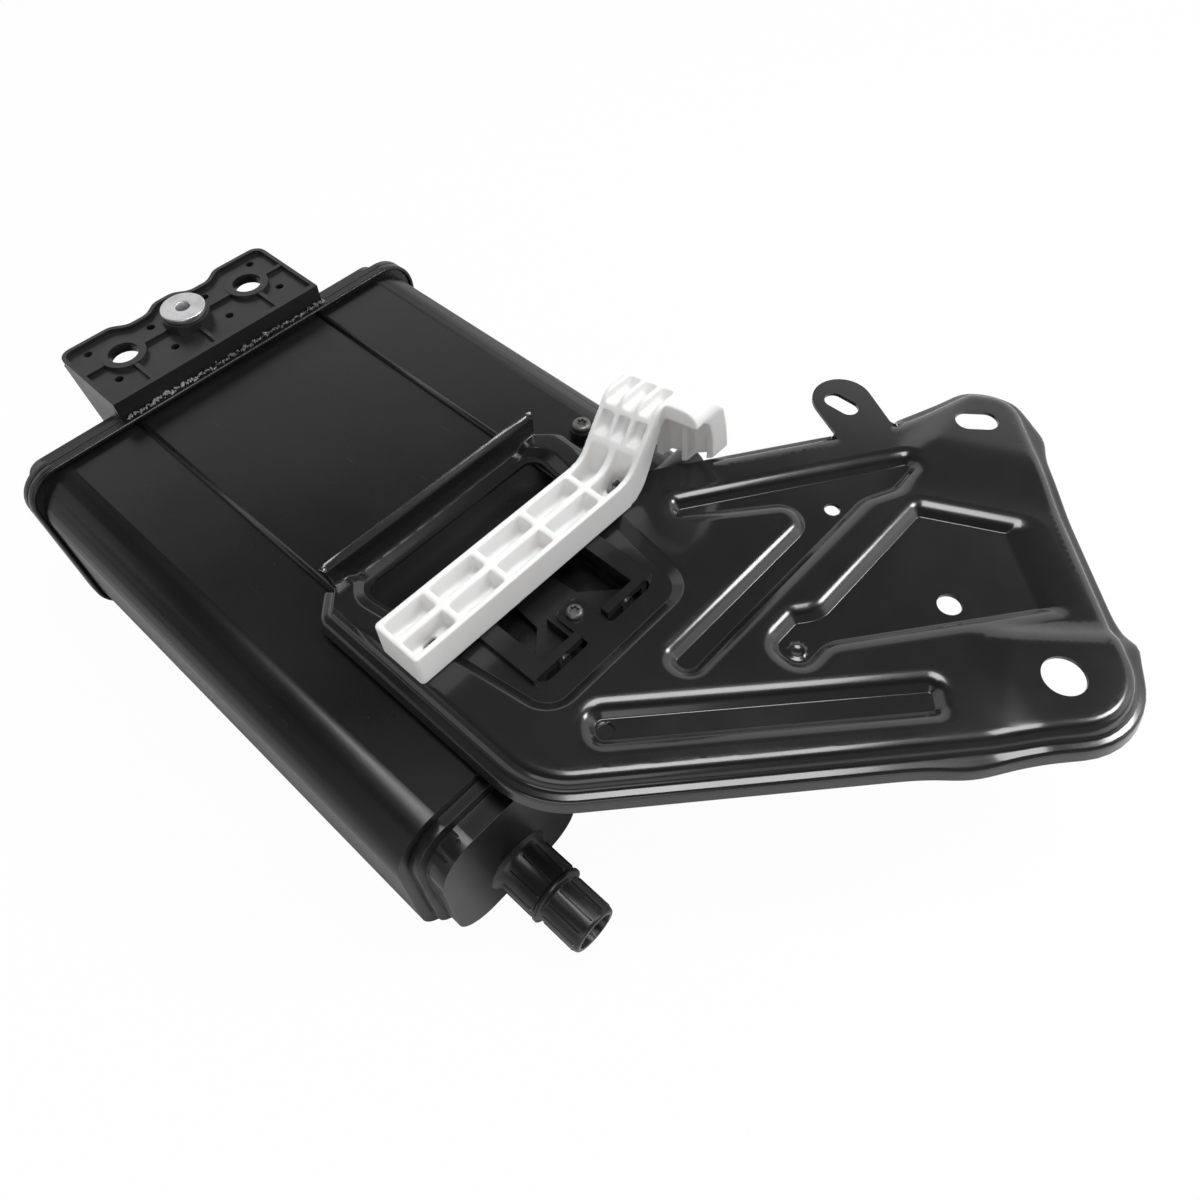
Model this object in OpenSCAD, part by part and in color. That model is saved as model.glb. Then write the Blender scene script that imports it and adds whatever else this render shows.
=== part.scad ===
// Charcoal canister for fuel vapour, with a stamped steel carrier bracket and a ribbed plastic hose guard.
// Millimetres, +Z up. X runs from the end cover to the hose port, Y runs across the canister.
// The origin is the middle of the canister's flat underside.

/* [Canister body] */
// Length of the body between its end faces
body_l = 240; // [210:1:280]
// Width of the body
body_w = 214; // [200:1:240]
// Height of the body
body_h = 90; // [84:1:110]
// Radius of the four long corners
body_r = 21; // [14:1:28]
// Wall of the body
wall = 3; // [2:0.25:3.5]
// Distance of each witness ridge on the top from the middle
ridge_y = 51; // [42:1:58]
// Width of a witness ridge
ridge_w = 2; // [1:0.2:3]
// Height of a witness ridge
ridge_h = 1.2; // [0.4:0.1:1.5]
// Place of the wall between the two charcoal bays
partition_y = 34; // [20:1:50]
// Thickness of the wall between the bays
partition_t = 2.6; // [2:0.2:4]
// Passage left between the bays at the cover end
turn_gap = 22; // [16:1:30]

/* [Weld lip] */
// How far the lip stands out at each side of the body
lip_out = 2.5; // [1:0.5:5]
// How far the lip stands above the top of the body
lip_up = 3; // [1:0.5:5]
// Thickness of the body's lip
lip_t = 3; // [2:0.5:5]
// Thickness of the cover's lip
cover_lip_t = 3.2; // [2:0.2:5]
// Corner radius of both lips
lip_r = 17; // [12:1:24]
// Melted bead between the two lips
weld_gap = 0.4; // [0.2:0.1:0.8]

/* [End cover] */
// Depth of the dished cover behind its lip
dish_depth = 14; // [10:1:20]
// Step in from the lip to the dish
dish_inset = 9; // [6:1:14]
// Wall of the cover
cover_wall = 3; // [2:0.5:4]

/* [Mounting ledge] */
// Length of the ledge across the canister
ledge_l = 113; // [108:1:130]
// Reach of the ledge beyond the lip
ledge_reach = 46; // [42:1:52]
// Height of the ledge rim above the top of the body
ledge_rise = 12; // [9:0.5:16]
// Thickness of the ledge floor
ledge_t = 3; // [2:0.5:4]
// Height of the rim and ribs above the ledge floor
ledge_rim_h = 2; // [1:0.5:3]
// Thickness of the rim and ribs
ledge_rim_t = 2; // [1.5:0.5:3]
// Depth of the two hollows in the outer edge
ledge_dip = 5; // [2:0.5:6]
// Distance between the two bolt bores
ledge_pitch = 69; // [60:1:74]
// Bore of a bolt boss
ledge_bore_d = 14; // [10:0.5:16]
// Outside of a bolt boss
ledge_boss_d = 21; // [19:1:24]
// Height of a bolt boss
ledge_boss_h = 5; // [5:0.5:9]
// Distance of the bore row from the lip
ledge_row = 25; // [22:1:28]
// Drain hole in the ledge floor
drain_d = 4; // [2:0.5:6]
// Thickness of a gusset under the ledge
gusset_t = 3; // [2:0.5:4]

/* [Threaded insert] */
// Flange of the steel insert
insert_flange_d = 21; // [18:1:26]
// Thickness of the insert flange
insert_flange_t = 3; // [2:0.5:4]
// Barrel of the insert
insert_barrel_d = 12; // [11:0.5:14]
// Length of the insert barrel
insert_barrel_l = 12; // [9:0.5:15]
// Threaded hole of the insert, at the thread's crest
insert_hole_d = 6.8; // [5:0.1:8.5]
// Height of the insert's boss above the ledge rim
insert_boss_up = 3; // [2:0.5:5]

/* [Port cap] */
// Thickness of the stepped plate on the hose end
step_t = 4.5; // [3:0.5:6]
// Inset of the stepped plate from the body
step_inset = 4.5; // [3:0.5:8]
// Depth of the outlet box
box_d = 8.5; // [6:0.5:14]
// Width of the outlet box
box_w = 65; // [56:1:76]
// Height of the outlet box
box_h = 74; // [68:1:76]
// Corner radius of the outlet box
box_r = 17; // [10:1:22]
// Place of the outlet box across the canister
box_y = -66.5; // [-70:0.5:-55]
// Wall of the outlet box
box_wall = 2.5; // [2:0.25:3.5]
// Height of the hose port's axis
port_z = 28; // [24:0.5:36]
// Length of the hose port
port_l = 41.7; // [35:0.5:55]
// Outside of the hose port
port_d = 21; // [18:0.5:24]
// Bore of the hose port
port_bore = 16; // [13:0.5:17]
// Outside of the port's thicker root
port_root_d = 24; // [22:0.5:24]
// Outside of the ring bead on the port
port_bead_d = 25.4; // [24.6:0.2:28]
// Distance of the ring bead from the box
port_bead_x = 21; // [16:0.5:26]

/* [Vent pipe] */
// Outside of the vent pipe on the top
vent_d = 16; // [14:0.5:17]
// Bore of the vent pipe
vent_bore = 10; // [7:0.5:10]
// Height of the pipe's axis above the top of the body
vent_up = 2.8; // [2.2:0.1:3.4]
// Place of the pipe along the canister
vent_x = 84; // [80:1:88]
// End of the pipe, out from the middle
vent_end = 95; // [92:1:98]

/* [Steel bracket] */
// Thickness of the steel sheet
sheet = 1.5; // [1:0.1:2]
// Height of the sheet's upper face above the top of the body
plate_up = 14; // [13:0.5:20]
// Height of the flange that stands up at the inner end
flange_h = 11; // [6:0.5:16]
// Drop of the first step of the rim
rim_step = 5; // [4:0.5:6]
// Width of the outward shelf of the rim
rim_shelf = 3.5; // [2:0.5:5]
// Drop of the rim below its shelf
rim_skirt = 5.5; // [3:0.5:6]
// Depth of the pressed beads
bead_depth = 4; // [2:0.5:4.5]
// Width of a bead's sloping wall
bead_run = 5; // [4:0.5:5.5]
// Depth of the recess round the window
window_depth = 3; // [2:0.5:3]
// Height of the two raised pads
pad_up = 3; // [1:0.5:4]
// Large mounting hole
hole_large_d = 16; // [12:0.5:20]
// Middle hole in the sunk panel
hole_mid_d = 9.6; // [6:0.2:12]
// Small hole between the beads
hole_small_d = 6.4; // [4:0.2:8]
// Hole at the end of the long bead
hole_bead_d = 6.4; // [4:0.2:7]
// Length of the slot in the corner pad
slot_corner_l = 18; // [14:0.5:22]
// Width of the slot in the corner pad
slot_corner_w = 10.5; // [8:0.5:12]
// Length of the slot in the tab
slot_tab_l = 16; // [12:0.5:18]
// Width of the slot in the tab
slot_tab_w = 8.5; // [6:0.5:10]
// Outside radius of the tab's round end
tab_r = 13.5; // [12.5:0.5:15]

/* [Window and retainer] */
// Half width of the window in the bracket
window_half = 30; // [29:0.5:32]
// Outer edge of the window along the canister
window_x = 117.5; // [116:0.5:119]
// Length of the screw tongue in the window
tongue_l = 18.5; // [16:0.5:20]
// Width of the screw tongue
tongue_w = 12; // [10:0.5:15]
// Thickness of the retainer's base
retainer_t = 4; // [3:0.5:5]
// Wall of the retainer's uprights
retainer_wall = 3; // [2:0.5:4]
// Reach of a retainer hook towards the middle
hook_reach = 22; // [16:1:24]
// Width of a retainer rail
rail_w = 8; // [6:0.5:9]

/* [Hose guard] */
// Width of the guard's flat bar
guard_w = 22.4; // [18:0.4:24]
// Height of the guard's flat bar
guard_h = 16.3; // [12:0.1:19]
// Wall of the guard
guard_wall = 2; // [1.4:0.2:2.4]
// Length of the flat bar from its near end to the ramp's foot
guard_l = 104.5; // [102:0.5:107]
// Cells along the flat bar, the one at the ramp's foot counted
guard_cells = 5; // [4:1:7]
// Angle by which the ramp and the hook run askew across the bar
guard_skew = 13; // [8:0.5:14]
// Width of the hook over the pipe
hook_w = 35.7; // [30:0.1:42]
// Height of the hook above the flat bar's top
hook_up = 26.3; // [24:0.1:29]
// Gap between the guard and the bracket
guard_gap = 0.2; // [0.1:0.1:0.4]

/* [Screws] */
// Head of the screw on the canister's boss
screw_head_d = 8.4; // [6:0.2:10]
// Head of the screw on the tongue
tongue_head_d = 6.8; // [6:0.2:9]
// Height of a screw head
screw_head_h = 2.4; // [1.5:0.1:3]
// Shank of a screw
screw_d = 4; // [3:0.1:4.5]
// Length of a screw under its head
screw_l = 7; // [5:0.5:8]
// Clearance round a screw shank
screw_play = 0.15; // [0.1:0.05:0.4]

/* [Inside] */
// Thickness of a perforated plate
grid_t = 3; // [2:0.5:4]
// Thickness of a fleece pad
fleece_t = 4; // [2:0.5:6]
// Stand-off of the port grids from the end wall
grid_gap = 6; // [4:0.5:10]
// Length of a charcoal bed
bed_l = 186; // [160:1:190]
// Play of the inner pieces in their bays
bay_play = 0.25; // [0.1:0.05:0.5]
// Hole in a perforated plate
grid_hole_d = 7; // [4:0.5:8]
// Pitch of the holes in a perforated plate
grid_pitch = 15; // [12:1:20]
// Mean diameter of a spring
spring_d = 22; // [16:1:28]
// Wire of a spring
spring_wire = 2; // [1.4:0.2:3]
// Turns of a spring
spring_turns = 4; // [3:1:6]

/* [Hidden] */
$fn = 64;
eps = 0.01;

// Places along X
end_x = body_l / 2;
lip_x = -body_l / 2;
cover_x = lip_x - lip_t - weld_gap;
dish_x = cover_x - cover_lip_t;
box_x = end_x + step_t;
box_face_x = box_x + box_d;
wall_in_x = end_x - wall;
grid_x = wall_in_x - grid_gap;
bed_x = grid_x - grid_t - fleece_t;
bed_end_x = bed_x - bed_l;
plate_back_x = bed_end_x - fleece_t - grid_t;
cover_in_x = dish_x - dish_depth + cover_wall;

// Heights
plate_z = body_h + plate_up;
window_z = plate_z - window_depth;
ledge_z = body_h + ledge_rise;
ledge_floor_z = ledge_z - ledge_rim_h;
lip_h = body_h + lip_up;
guard_z = plate_z + guard_gap;
guard_top = guard_z + guard_h;
vent_z = body_h + vent_up;

// The ledge's bore row and its three bosses
row_x = lip_x - ledge_row - lip_t - cover_lip_t;
ledge_x = dish_x - ledge_reach;
insert_seat_z = ledge_z + insert_boss_up;
insert_play = 0.1;
insert_boss_z = insert_seat_z - insert_barrel_l;
dip_y = ledge_pitch / 4;
dip_floor = 5;
dip_mouth = 12;
dip_r = 8;
ledge_corners = [
  [cover_x, -ledge_l / 2, 3], [cover_x, ledge_l / 2, 3], [ledge_x, ledge_l / 2, 6],
  for (s = [1, -1]) each [
    [ledge_x, s * dip_y + dip_mouth, dip_r], [ledge_x + ledge_dip, s * dip_y + dip_floor, dip_r],
    [ledge_x + ledge_dip, s * dip_y - dip_floor, dip_r], [ledge_x, s * dip_y - dip_mouth, dip_r]
  ],
  [ledge_x, -ledge_l / 2, 6]
];

// Bracket outline at the upper fold, as corners [x, y, radius] seen from above, turning left
flange_x = 29.5;
plate_corners = [
  [flange_x, -53, 2], [36.5, -60, 2], [142.7, -60, 32], [284.3, 97, 26], [171, 207, 14],
  [155, 197.5, 8], [140.5, 160, 30], [72.8, 60, 20], [36, 60, 2], [flange_x, 54, 2]
];
flange_y0 = -53;
flange_y1 = 54;

// Beads pressed down into the sheet
bead_hook = [
  [92, 63, 7], [104.5, 56, 7], [139.5, 98, 4], [139.5, 3, 8], [158.3, 3, 10],
  [158.3, 118, 12], [164.5, 131, 12], [164.5, 151, 7], [153, 153, 7]
];
bead_long = [[130.8, -28.5, 9], [146.8, -40.8, 9], [233.5, 54.5, 7], [220.5, 69, 7]];
panel = [
  [162.5, 31, 11], [187, 31, 10], [187, 50, 8], [242.5, 121.5, 7], [209, 151.5, 8],
  [168.7, 131, 8], [168.7, 62, 9], [162.5, 54, 8]
];
window_recess = [[31.8, -54, 12], [131, -39, 14], [131, 39, 14], [31.8, 54, 12]];
window_run = 4.5;

// How far each wall of the rim leans out
rim_lean = 1.6;

// Pads that stand above the sheet
pad_large = [[249, 61, 8], [281, 97, 22], [252, 126, 8], [233, 92, 14]];
pad_corner = [[171, 152, 10], [206, 168, 8], [171.5, 203, 12], [157, 194.5, 8], [150, 178, 8]];
pad_run = 3;

// Holes of the bracket
hole_large = [252, 92];
hole_mid = [206, 97.5];
hole_small = [146.8, 107];
hole_bead = [145.6, -28.6];
slot_corner = [166.5, 183.5];
slot_corner_turn = 38;
slot_tab = [117, 156.2];
tab_centre = [115.5, 157.5];
tab_neck = [[104.5, 149], [126.5, 143], [131, 139], [146, 160], [131, 167.5], [123, 168.5]];
tab_cut = [125, 145];
tab_cut_size = [24, 16];
tab_cut_turn = 57;
rim_cut_in = 0.4;
long_window = [[37, -47], [62, 47]];
window_inner_x = 69;
tongue_screw_x = window_x - 13;

// Guard places
guard_x1 = 87.7;
guard_x0 = guard_x1 - guard_w;
guard_y0 = -59.5;
guard_foot = guard_y0 + guard_l;
guard_peak = guard_top + hook_up;
guard_end_r = 2.5;
first_cell = 22;
last_cell = 8.6;
rib_pitch = (guard_l - first_cell - last_cell) / (guard_cells - 2);
guard_rib_y = [for (i = [0:guard_cells - 2]) guard_y0 + first_cell + i * rib_pitch];
guard_slot_x = guard_x1 - guard_w * 0.28;
guard_slot = [3.6, 4.4];
catch_w = 3;
// Places of the two catches across the canister, with the depth of the sheet there
guard_catches = [[guard_y0 + 9.5, 0], [guard_foot - 4.7, window_depth]];
boss_screw = [37, 76];
boss_screw_up = 7;
boss_screw_d = 11;

// Start of the vent pipe and the place of its passage into the vent bay
vent_y0 = 60;
vent_drop_y = 66;
vent_drop_d = vent_bore - 3;

// Turns a flat outline in Y and Z into a bar along X
module along_x(x0, x1) {
  translate([x0, 0, 0]) rotate([90, 0, 90]) linear_extrude(x1 - x0) children();
}

// Rectangle with round corners, centred
module round_rect(w, h, r) {
  square([w - 2 * r, h], center = true);
  square([w, h - 2 * r], center = true);
  for (sx = [-1, 1], sy = [-1, 1])
    translate([sx * (w / 2 - r), sy * (h / 2 - r)]) circle(r);
}

// Body section, shrunk by d all round
module body_section(d) {
  translate([0, body_h / 2]) round_rect(body_w - 2 * d, body_h - 2 * d, body_r - d);
}

// Lip section, flush with the underside of the body
module lip_section(d) {
  translate([0, lip_h / 2]) round_rect(body_w + 2 * lip_out - 2 * d, lip_h - 2 * d, lip_r - d);
}

// One charcoal bay, shrunk by play: side -1 is the main bay and 1 is the vent bay
module bay_section(side, play) {
  half = partition_t / 2 + play;
  intersection() {
    body_section(wall + play);
    if (side < 0)
      translate([-body_w, -eps]) square([body_w + partition_y - half, body_h + 1]);
    else
      translate([partition_y + half, -eps]) square([body_w, body_h + 1]);
  }
}

// Unit vector of v
function unit(v) = v / norm(v);

// v turned by an angle
function turned(v, a) = [v[0] * cos(a) - v[1] * sin(a), v[0] * sin(a) + v[1] * cos(a)];

// Arc that rounds corner b between its neighbours a and c, with the outline pushed out by d
function corner_arc(a, b, c, d, n) =
  let (
    p = [b[0], b[1]],
    u = unit(p - [a[0], a[1]]),
    v = unit([c[0], c[1]] - p),
    turn = atan2(u[0] * v[1] - u[1] * v[0], u * v),
    side = turn < 0 ? -1 : 1,
    to_centre = [-u[1], u[0]] * side,
    centre = p - u * b[2] * tan(abs(turn) / 2) + to_centre * b[2],
    r = b[2] + d * side
  )
  [for (i = [0:n]) centre - turned(to_centre, turn * i / n) * r];

// Rounded outline of a list of corners, pushed out by d
function outline(corners, d, n = 5) =
  let (m = len(corners))
  [for (k = [0:m - 1], p = corner_arc(corners[(k + m - 1) % m], corners[k], corners[(k + 1) % m], d, n)) p];

// Closed band along a rounded outline, with a section of [push out, height] points that turns left
module band(corners, section, n = 4) {
  rows = [for (p = section) outline(corners, p[0], n)];
  m = len(rows[0]);
  c = len(section);
  points = [for (k = [0:c - 1], p = rows[k]) [p[0], p[1], section[k][1]]];
  faces = [for (k = [0:c - 1], i = [0:m - 1]) let (j = (i + 1) % m, q = (k + 1) % c)
    [k * m + i, q * m + i, q * m + j, k * m + j]];
  polyhedron(points, faces);
}

// Area of the sheet pressed down by depth, or up when depth is below zero; the children are its holes
module pressed(corners, depth, run) {
  band(corners, [[-run, -depth - sheet], [0, -sheet], [0, 0], [-run, -depth]]);
  translate([0, 0, -depth - sheet]) linear_extrude(sheet) difference() {
    polygon(outline(corners, -run, 4));
    children();
  }
}

// Rim of the sheet: a wall, an outward shelf and a skirt
module rim() {
  shelf_out = rim_lean + rim_shelf;
  skirt_out = shelf_out + rim_lean;
  foot = -rim_step - rim_skirt;
  band(plate_corners, [
    [0, -sheet], [rim_lean - sheet, -rim_step - sheet * 0.9], [shelf_out - sheet, -rim_step - sheet],
    [skirt_out - sheet, foot], [skirt_out, foot], [shelf_out, -rim_step - 0.3], [rim_lean, -rim_step], [0, 0]
  ]);
}

// Slot with round ends, centred
module slot(l, w) {
  square([l - w, w], center = true);
  for (s = [-1, 1]) translate([s * (l - w) / 2, 0]) circle(d = w);
}

// Rectangle between two opposite corners with small round corners
module window_rect(a, b, r) {
  translate((a + b) / 2) round_rect(b[0] - a[0], b[1] - a[1], r);
}

// Flat of the sheet at its main level, with the tab at its back edge
module sheet_section() {
  difference() {
    union() {
      polygon(outline(plate_corners, 0, 4));
      translate(tab_centre) circle(tab_r);
      polygon(tab_neck);
    }
    for (area = [bead_hook, bead_long, panel, window_recess, pad_large, pad_corner])
      polygon(outline(area, 0, 4));
    translate(slot_tab) slot(slot_tab_l, slot_tab_w);
  }
}

// Stamped bracket: one sheet with a rim, pressed beads, raised pads, a flange and a tab
module mounting_bracket() {
  cut = 60;
  wide = 4 * (flange_y1 - flange_y0);
  color([0.07, 0.07, 0.075]) translate([0, 0, plate_z]) {
    translate([0, 0, -sheet]) linear_extrude(sheet) sheet_section();
    difference() {
      rim();
      translate([flange_x - cut + rim_cut_in, -wide / 2, -cut / 2]) cube([cut, wide, cut]);
      translate([tab_cut[0], tab_cut[1], -cut - sheet]) rotate(tab_cut_turn)
        cube([tab_cut_size[0], tab_cut_size[1], cut]);
      vent_clearance();
    }
    pressed(bead_hook, bead_depth, bead_run) translate(hole_small) circle(d = hole_small_d);
    pressed(bead_long, bead_depth, bead_run) translate(hole_bead) circle(d = hole_bead_d);
    pressed(panel, bead_depth, bead_run) translate(hole_mid) circle(d = hole_mid_d);
    pressed(pad_large, -pad_up, pad_run) translate(hole_large) circle(d = hole_large_d);
    pressed(pad_corner, -pad_up, pad_run)
      translate(slot_corner) rotate(slot_corner_turn) slot(slot_corner_l, slot_corner_w);
    pressed(window_recess, window_depth, window_run) {
      window_rect(long_window[0], long_window[1], 6);
      difference() {
        window_rect([window_inner_x, -window_half], [window_x, window_half], 4);
        translate([window_x - tongue_l, 0]) tongue_section();
      }
      translate([tongue_screw_x, 0]) circle(d = screw_d + 2 * screw_play);
    }
    translate([flange_x, flange_y0, -sheet]) cube([sheet, flange_y1 - flange_y0, flange_h + sheet]);
    for (c = guard_catches) translate([guard_slot_x, c[0], 0]) guard_catch(c[1]);
  }
}

// Outline of the tongue, from its round tip to the edge of the window
module tongue_section() {
  r = 3;
  translate([r, -tongue_w / 2]) square([tongue_l - r + 1, tongue_w]);
  translate([0, -tongue_w / 2 + r]) square([r + 1, tongue_w - 2 * r]);
  for (s = [-1, 1]) translate([r, s * (tongue_w / 2 - r)]) circle(r);
}

// Small upright that the guard snaps on, where the sheet lies deep below its main level
module guard_catch(deep) {
  nose = 0.8;
  nose_t = 1.2;
  h = guard_gap + guard_wall + 2 * nose_t;
  translate([-sheet / 2, -catch_w / 2, -deep - sheet]) cube([sheet, catch_w, h + deep + sheet]);
  translate([-sheet / 2, -catch_w / 2, h - nose_t]) cube([sheet + nose, catch_w, nose_t]);
}

// Room for the vent pipe in the bracket's rim
module vent_clearance() {
  play = 1.5;
  translate([vent_x, vent_y0 - 5, vent_z - plate_z]) rotate([-90, 0, 0])
    cylinder(d = vent_d + 2 * play, h = vent_end, $fn = 48);
}

// Moulded shell with its lip, two bays, vent pipe and screw boss
module canister_body() {
  color([0.10, 0.10, 0.11]) difference() {
    union() {
      along_x(lip_x, end_x) body_section(0);
      along_x(lip_x - lip_t, lip_x) lip_section(0);
      for (s = [-1, 1]) translate([lip_x - eps, s * ridge_y - ridge_w / 2, body_h - 1])
        cube([body_l - 4, ridge_w, 1 + ridge_h]);
      translate([vent_x, vent_end, vent_z]) rotate([90, 0, 0]) cylinder(d = vent_d, h = vent_end - vent_y0);
      translate([vent_x, vent_y0, vent_z]) sphere(d = vent_d);
      translate([boss_screw[0], boss_screw[1], body_h - 1]) cylinder(d = boss_screw_d, h = 1 + boss_screw_up);
    }
    along_x(lip_x - lip_t - 1, lip_x + turn_gap) body_section(wall);
    for (side = [-1, 1]) along_x(lip_x, wall_in_x) bay_section(side, 0);
    along_x(wall_in_x - 1, end_x + 1) port_mouth();
    translate([vent_x, vent_end + 1, vent_z]) rotate([90, 0, 0]) cylinder(d = vent_bore, h = vent_end - vent_y0 - 1);
    translate([vent_x, vent_drop_y, body_h - wall - 1]) cylinder(d = vent_drop_d, h = wall + 2 + vent_up);
    translate([boss_screw[0], boss_screw[1], body_h + boss_screw_up - screw_l - 0.5])
      cylinder(d = screw_d + 2 * screw_play, h = screw_l + 1);
  }
  color([0.10, 0.10, 0.11]) grid_posts();
}

// Opening through the end wall into the outlet box
module port_mouth() {
  translate([box_y, body_h / 2 - 2]) round_rect(box_w - 2 * box_r, box_h / 2, 6);
}

// Posts that hold the port grids off the end wall
module grid_posts() {
  for (y = [-body_w / 2 + 12, partition_y - 12, partition_y + 12, body_w / 2 - 12], z = [0.3, 0.7])
    translate([grid_x, y, body_h * z]) rotate([0, 90, 0]) cylinder(d = 6, h = grid_gap + wall - eps);
}

// Section of the ledge as seen from above, with two hollows in its outer edge, shrunk by d
module ledge_plan(d) {
  polygon(outline(ledge_corners, -d));
}

// Rib on the ledge floor between two points
module ledge_rib(a, b) {
  h = ledge_rim_h + 0.5;
  v = b - a;
  translate([a[0], a[1], ledge_z - h]) rotate(atan2(v[1], v[0]))
    translate([0, -ledge_rim_t / 2, 0]) cube([norm(v), ledge_rim_t, h - 0.3]);
}

// Places of the drain holes in the ledge floor
function drains() = [
  for (s = [-1, 1]) each [
    [row_x + 12, s * ledge_pitch * 0.65], [row_x + 12, s * ledge_pitch * 0.22],
    [row_x - 9, s * ledge_pitch * 0.22], [row_x - 14, s * ledge_pitch * 0.66]
  ]
];

// Dished cover with its lip and the mounting ledge
module end_cover() {
  half = ledge_pitch / 2;
  boss_z = ledge_z - ledge_boss_h;
  color([0.11, 0.11, 0.12]) difference() {
    union() {
      along_x(dish_x, cover_x) lip_section(0);
      along_x(dish_x - dish_depth, dish_x) lip_section(dish_inset);
      translate([0, 0, ledge_floor_z - ledge_t]) linear_extrude(ledge_t) ledge_plan(0);
      translate([0, 0, ledge_floor_z - eps]) linear_extrude(ledge_rim_h + eps) difference() {
        ledge_plan(0);
        ledge_plan(ledge_rim_t);
      }
      translate([cover_x - 2.6, -ledge_l / 2, lip_h - 4]) cube([2.6, ledge_l, ledge_z - lip_h + 4]);
      for (y = [-half, half]) translate([row_x, y, boss_z]) cylinder(d = ledge_boss_d, h = ledge_boss_h);
      translate([row_x, 0, insert_boss_z]) cylinder(d = insert_flange_d + 2, h = insert_seat_z - insert_boss_z);
      ledge_rib([row_x, -ledge_l / 2], [row_x, ledge_l / 2]);
      for (y = [-half, 0, half]) ledge_rib([row_x, y], [cover_x - 1, y]);
      for (s = [-1, 1]) translate([0, s * (ledge_l / 2 - gusset_t / 2) + gusset_t / 2, 0]) gusset();
      for (s = [-1, 1]) translate([0, s * half / 2 + gusset_t / 2, 0]) gusset();
    }
    along_x(dish_x - dish_depth + cover_wall, cover_x + 1) lip_section(dish_inset + cover_wall);
    for (y = [-half, half]) translate([row_x, y, boss_z - 1]) cylinder(d = ledge_bore_d, h = ledge_boss_h + 2);
    translate([row_x, 0, insert_boss_z - 1])
      cylinder(d = insert_barrel_d + 2 * insert_play, h = insert_barrel_l + 2);
    for (p = drains()) translate([p[0], p[1], ledge_floor_z - ledge_t - 1]) cylinder(d = drain_d, h = ledge_t + 2);
  }
}

// Triangular web under the ledge
module gusset() {
  top = ledge_floor_z - ledge_t + 1;
  foot = body_h * 0.14;
  rotate([90, 0, 0]) linear_extrude(gusset_t)
    polygon([[ledge_x + 3, top], [dish_x - dish_depth + 2, foot], [dish_x - dish_depth + 4, foot], [dish_x, top]]);
}

// Steel insert with a round flange and a threaded hole
module threaded_insert() {
  color([0.75, 0.76, 0.78]) translate([row_x, 0, 0]) difference() {
    union() {
      translate([0, 0, insert_seat_z]) cylinder(d = insert_flange_d, h = insert_flange_t);
      translate([0, 0, insert_seat_z - insert_barrel_l]) cylinder(d = insert_barrel_d, h = insert_barrel_l + 1);
    }
    translate([0, 0, insert_seat_z - insert_barrel_l - 1])
      cylinder(d = insert_hole_d, h = insert_barrel_l + insert_flange_t + 2);
  }
}

// Section of the outlet box, shrunk by d
module box_section(d) {
  translate([box_y, body_h / 2 - 2]) round_rect(box_w - 2 * d, box_h - 2 * d, box_r - d);
}

// Half profile of the hose port, from its flared root to its rounded tip
module port_profile() {
  r = port_d / 2;
  root = port_root_d / 2;
  bead = port_bead_d / 2;
  polygon([
    [0, -1], [root + 2.6, -1], [root + 2.4, 0.4], [root + 0.8, 1.6], [root, 3.4], [root, port_bead_x - 1.4],
    [bead, port_bead_x - 0.8], [bead, port_bead_x + 0.8], [r, port_bead_x + 1.8],
    [r, port_l - 1.4], [r - 0.4, port_l - 0.4], [r - 1, port_l], [0, port_l]
  ]);
}

// Hose end: a stepped plate, the outlet box and the hose port in one moulding
module port_cap() {
  color([0.12, 0.12, 0.13]) difference() {
    union() {
      along_x(end_x, box_x) body_section(step_inset);
      along_x(box_x - eps, box_face_x) box_section(0);
      translate([box_face_x, box_y, port_z]) rotate([0, 90, 0]) rotate_extrude() port_profile();
    }
    along_x(end_x - 1, box_face_x - box_wall) box_section(box_wall);
    translate([box_face_x - box_wall - 1, box_y, port_z]) rotate([0, 90, 0])
      cylinder(d = port_bore, h = port_l + box_wall + 2);
  }
}

// Black plastic frame on the canister that the bracket is hooked under and screwed to
module retainer_frame() {
  x0 = window_inner_x - 4;
  x1 = window_x - 2.5;
  inner = window_half - 1 - retainer_wall;
  top = plate_z - 0.3;
  rail_t = 2.5;
  corner_gap = 2.5;
  seat = window_z - sheet;
  color([0.09, 0.09, 0.095]) difference() {
    union() {
      translate([x0, -window_half + 1, body_h]) cube([x1 - x0, 2 * window_half - 2, retainer_t]);
      for (s = [0, 1]) mirror([0, s, 0]) {
        translate([window_inner_x + corner_gap, inner, body_h + retainer_t - 1])
          cube([x1 - window_inner_x - corner_gap, retainer_wall, top - body_h - retainer_t + 1]);
        translate([x0, inner - 2, top - rail_t]) cube([x1 - x0, rail_w, rail_t]);
        translate([x1 - 3.6, inner + retainer_wall - hook_reach, top - rail_t - 1])
          cube([3.6, hook_reach, rail_t + 1]);
        translate([x1 - 1, 17, seat + 0.6]) rotate([0, 90, 0]) cylinder(d = 6, h = 2.2);
      }
      translate([tongue_screw_x - 7, -8, body_h]) cube([14, 16, seat - body_h]);
    }
    translate([tongue_screw_x, 0, seat - screw_l + sheet - 0.5])
      cylinder(d = screw_d + 2 * screw_play, h = screw_l + 1);
    for (s = [-1, 1]) translate([0, 0, body_h - 1]) linear_extrude(retainer_t + 2)
      polygon([[window_inner_x + 3, s * 9], [window_inner_x + 16, s * 24], [x1 - 8, s * 24], [x1 - 20, s * 11]]);
  }
}

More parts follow.
